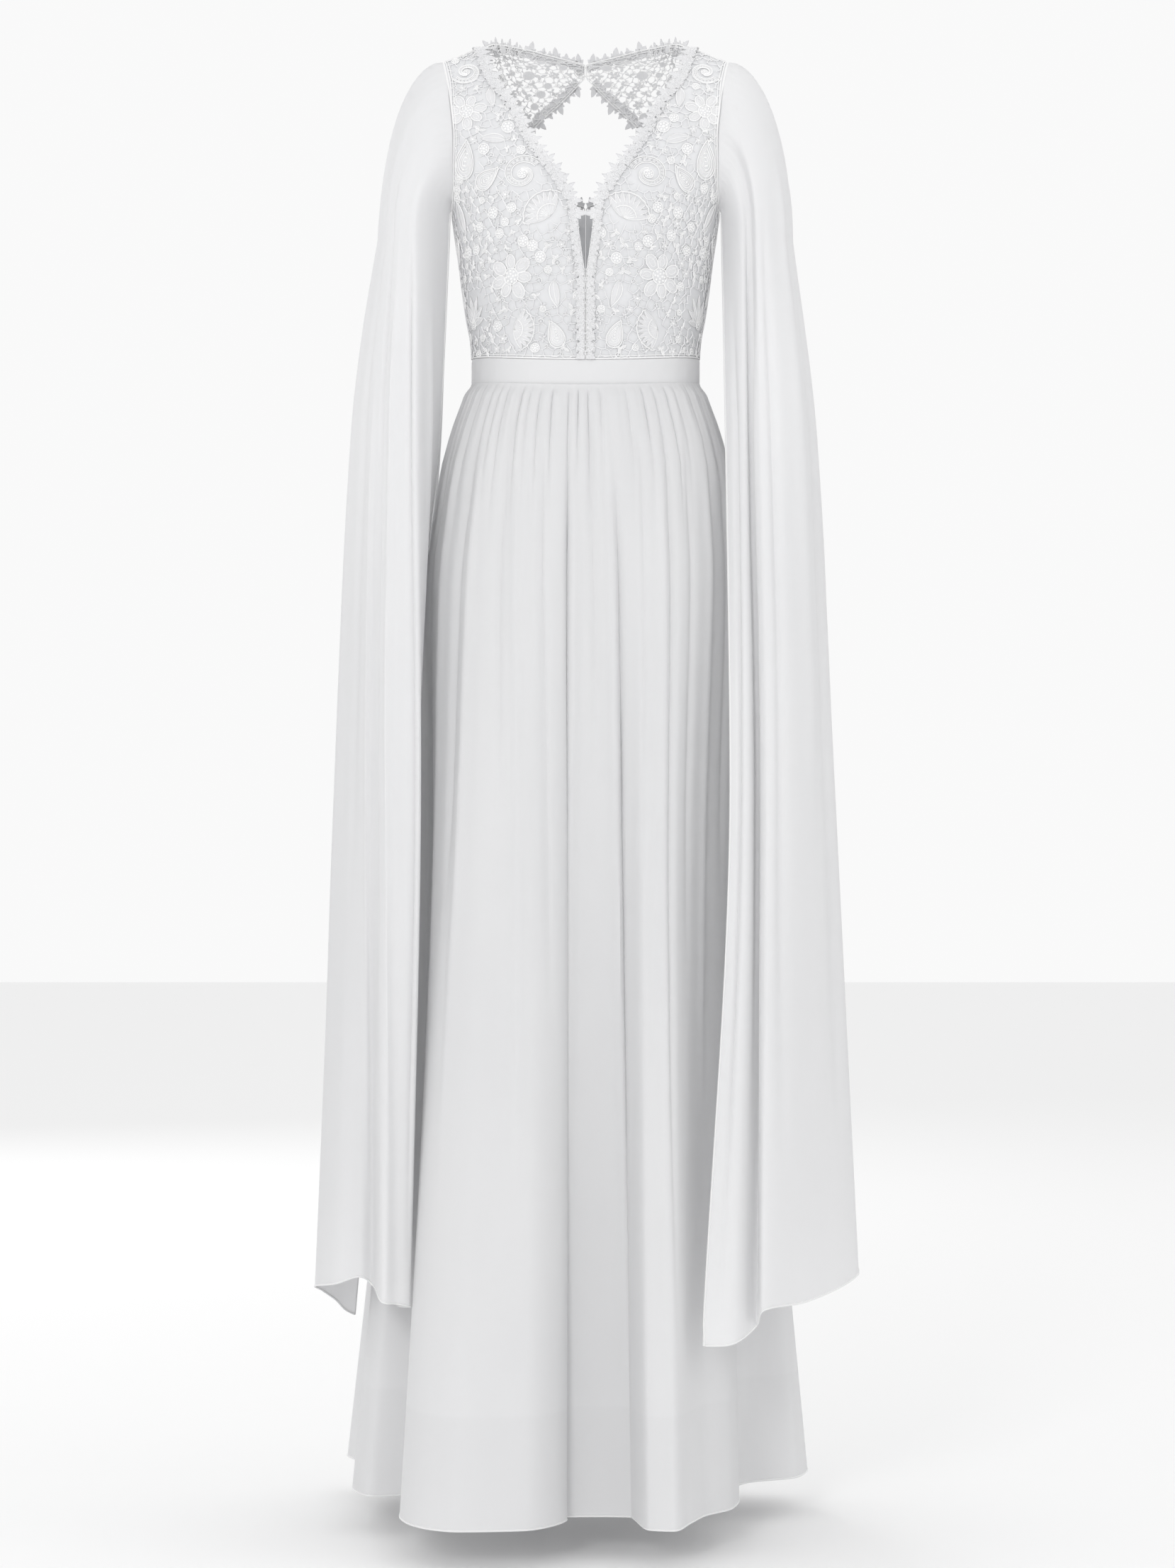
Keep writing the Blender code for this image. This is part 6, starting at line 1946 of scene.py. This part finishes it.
@dataclass
class NapeClosure:
    """The covered button and its loop at the nape."""

    height: float = NAPE_HEIGHT - 0.006
    across: float = 0.0060

    def __post_init__(self) -> None:
        """Works out how far back the closure sits."""
        height = np.asarray(self.height)
        spot = TORSO_FORM.point(Side.BACK, TORSO_FORM.angle_at(np.asarray(self.across), height), height)
        self.seat = float(spot[1]) + CLOSURE_LIFT

    def button(self) -> Piece:
        """A round button covered in cloth, gathered to its back."""
        bpy.ops.object.select_all(action="DESELECT")
        centre = (-self.across, self.seat + 0.5 * BUTTON_HEIGHT, self.height)
        bpy.ops.mesh.primitive_uv_sphere_add(segments=48, ring_count=24, radius=BUTTON_RADIUS, location=(0, 0, 0))
        button = bpy.context.object
        button.name = "nape_button_cloth"
        bpy.ops.object.mode_set(mode="EDIT")
        bpy.ops.mesh.select_all(action="SELECT")
        bpy.ops.transform.resize(value=(1.0, 1.0, 0.5 * BUTTON_HEIGHT / BUTTON_RADIUS))
        bpy.ops.transform.rotate(value=math.radians(90.0), orient_axis="X", center_override=(0, 0, 0))
        bpy.ops.transform.translate(value=centre)
        bpy.ops.mesh.normals_make_consistent(inside=False)
        bpy.ops.object.mode_set(mode="OBJECT")
        bpy.ops.object.shade_smooth()
        button.data.materials.append(BUTTON_CLOTH.material())
        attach(button, "root")
        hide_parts("nape_button")
        return button

    def loop(self) -> Piece:
        """The cord loop from the other yoke round the button."""
        turns = np.radians(np.linspace(50.0, 310.0, 34))
        ends = [(0.0075, 0.0036), (0.0075, -0.0036)]
        ring = [(-self.across + LOOP_RADIUS * math.cos(t), LOOP_RADIUS * math.sin(t)) for t in turns]
        path = np.array([ends[0], (0.0035, 0.0043), *ring, (0.0035, -0.0043), ends[1]])
        spots = stack(path[:, 0], self.seat + LOOP_CORD, self.height + path[:, 1])
        maker = MeshMaker()
        add_tube(maker, spots, LOOP_CORD, 8)
        loop = maker.finished("nape_loop_cord", (LACE_CORD_PAINTED_HIGHLIGHT,))
        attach(loop, "root")
        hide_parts("nape_loop")
        return loop

    def build(self) -> None:
        """Makes both."""
        self.button()
        self.loop()


@dataclass
class Studio:
    """A plain pale floor, soft light and the photo's camera."""

    floor_height: float = -1.545
    camera_place: tuple[float, float, float] = (0.002, -4.30, -0.764)
    lens: float = 95.0

    def floor(self) -> None:
        """A wide pale floor."""
        bpy.ops.object.select_all(action="DESELECT")
        bpy.ops.mesh.primitive_plane_add(size=24.0, location=(0.0, 0.0, self.floor_height))
        floor = bpy.context.object
        floor.name = "studio_floor"
        shader = Shader("studio_floor")
        shader.feed("Base Color", (0.90, 0.90, 0.90, 1.0))
        shader.feed("Roughness", 0.85)
        floor.data.materials.append(shader.material)

    def light(self, name: str, place: tuple[float, float, float], size: float, power: float) -> None:
        """A soft square light that faces the dress's middle."""
        data = bpy.data.lights.new(name, "AREA")
        data.size = size
        data.energy = power
        lamp = bpy.data.objects.new(name, data)
        lamp.location = place
        aim = Vector((0.0, 0.0, -0.7)) - Vector(place)
        lamp.rotation_euler = aim.to_track_quat("-Z", "Y").to_euler()
        bpy.context.scene.collection.objects.link(lamp)

    def build(self) -> None:
        """Sets the floor, the lights, the pale surround and the camera."""
        self.floor()
        self.light("front_light", (-1.1, -4.5, 0.5), 1.0, 46.0)
        self.light("side_light", (3.2, -1.6, 0.6), 1.4, 7.0)
        self.light("back_light", (-1.6, 4.2, 0.8), 1.4, 22.0)
        world = bpy.data.worlds.new("pale_surround")
        world.use_nodes = True
        world.node_tree.nodes["Background"].inputs["Color"].default_value = (1.0, 1.0, 1.0, 1.0)
        world.node_tree.nodes["Background"].inputs["Strength"].default_value = 0.95
        bpy.context.scene.world = world
        bpy.context.scene.view_settings.view_transform = "Standard"
        data = bpy.data.cameras.new("photo_camera")
        data.lens = self.lens
        data.sensor_width = 36.0
        data.sensor_fit = "AUTO"
        camera = bpy.data.objects.new("photo_camera", data)
        camera.location = self.camera_place
        camera.rotation_euler = (math.radians(90.0), 0.0, 0.0)
        bpy.context.scene.collection.objects.link(camera)
        bpy.context.scene.camera = camera


def main() -> None:
    """Builds the dress piece by piece, then its setting."""
    logging.basicConfig(level=logging.INFO, format="%(message)s", stream=sys.stdout)
    Studio().build()
    Bodice().build()
    Waistband().build()
    Skirt().build()
    Sleeve(Hand.LEFT, LEFT_SLEEVE, LEFT_CREASES).build()
    Sleeve(Hand.RIGHT, RIGHT_SLEEVE, RIGHT_CREASES).build()
    NapeClosure().build()


if __name__ == "__main__":
    main()
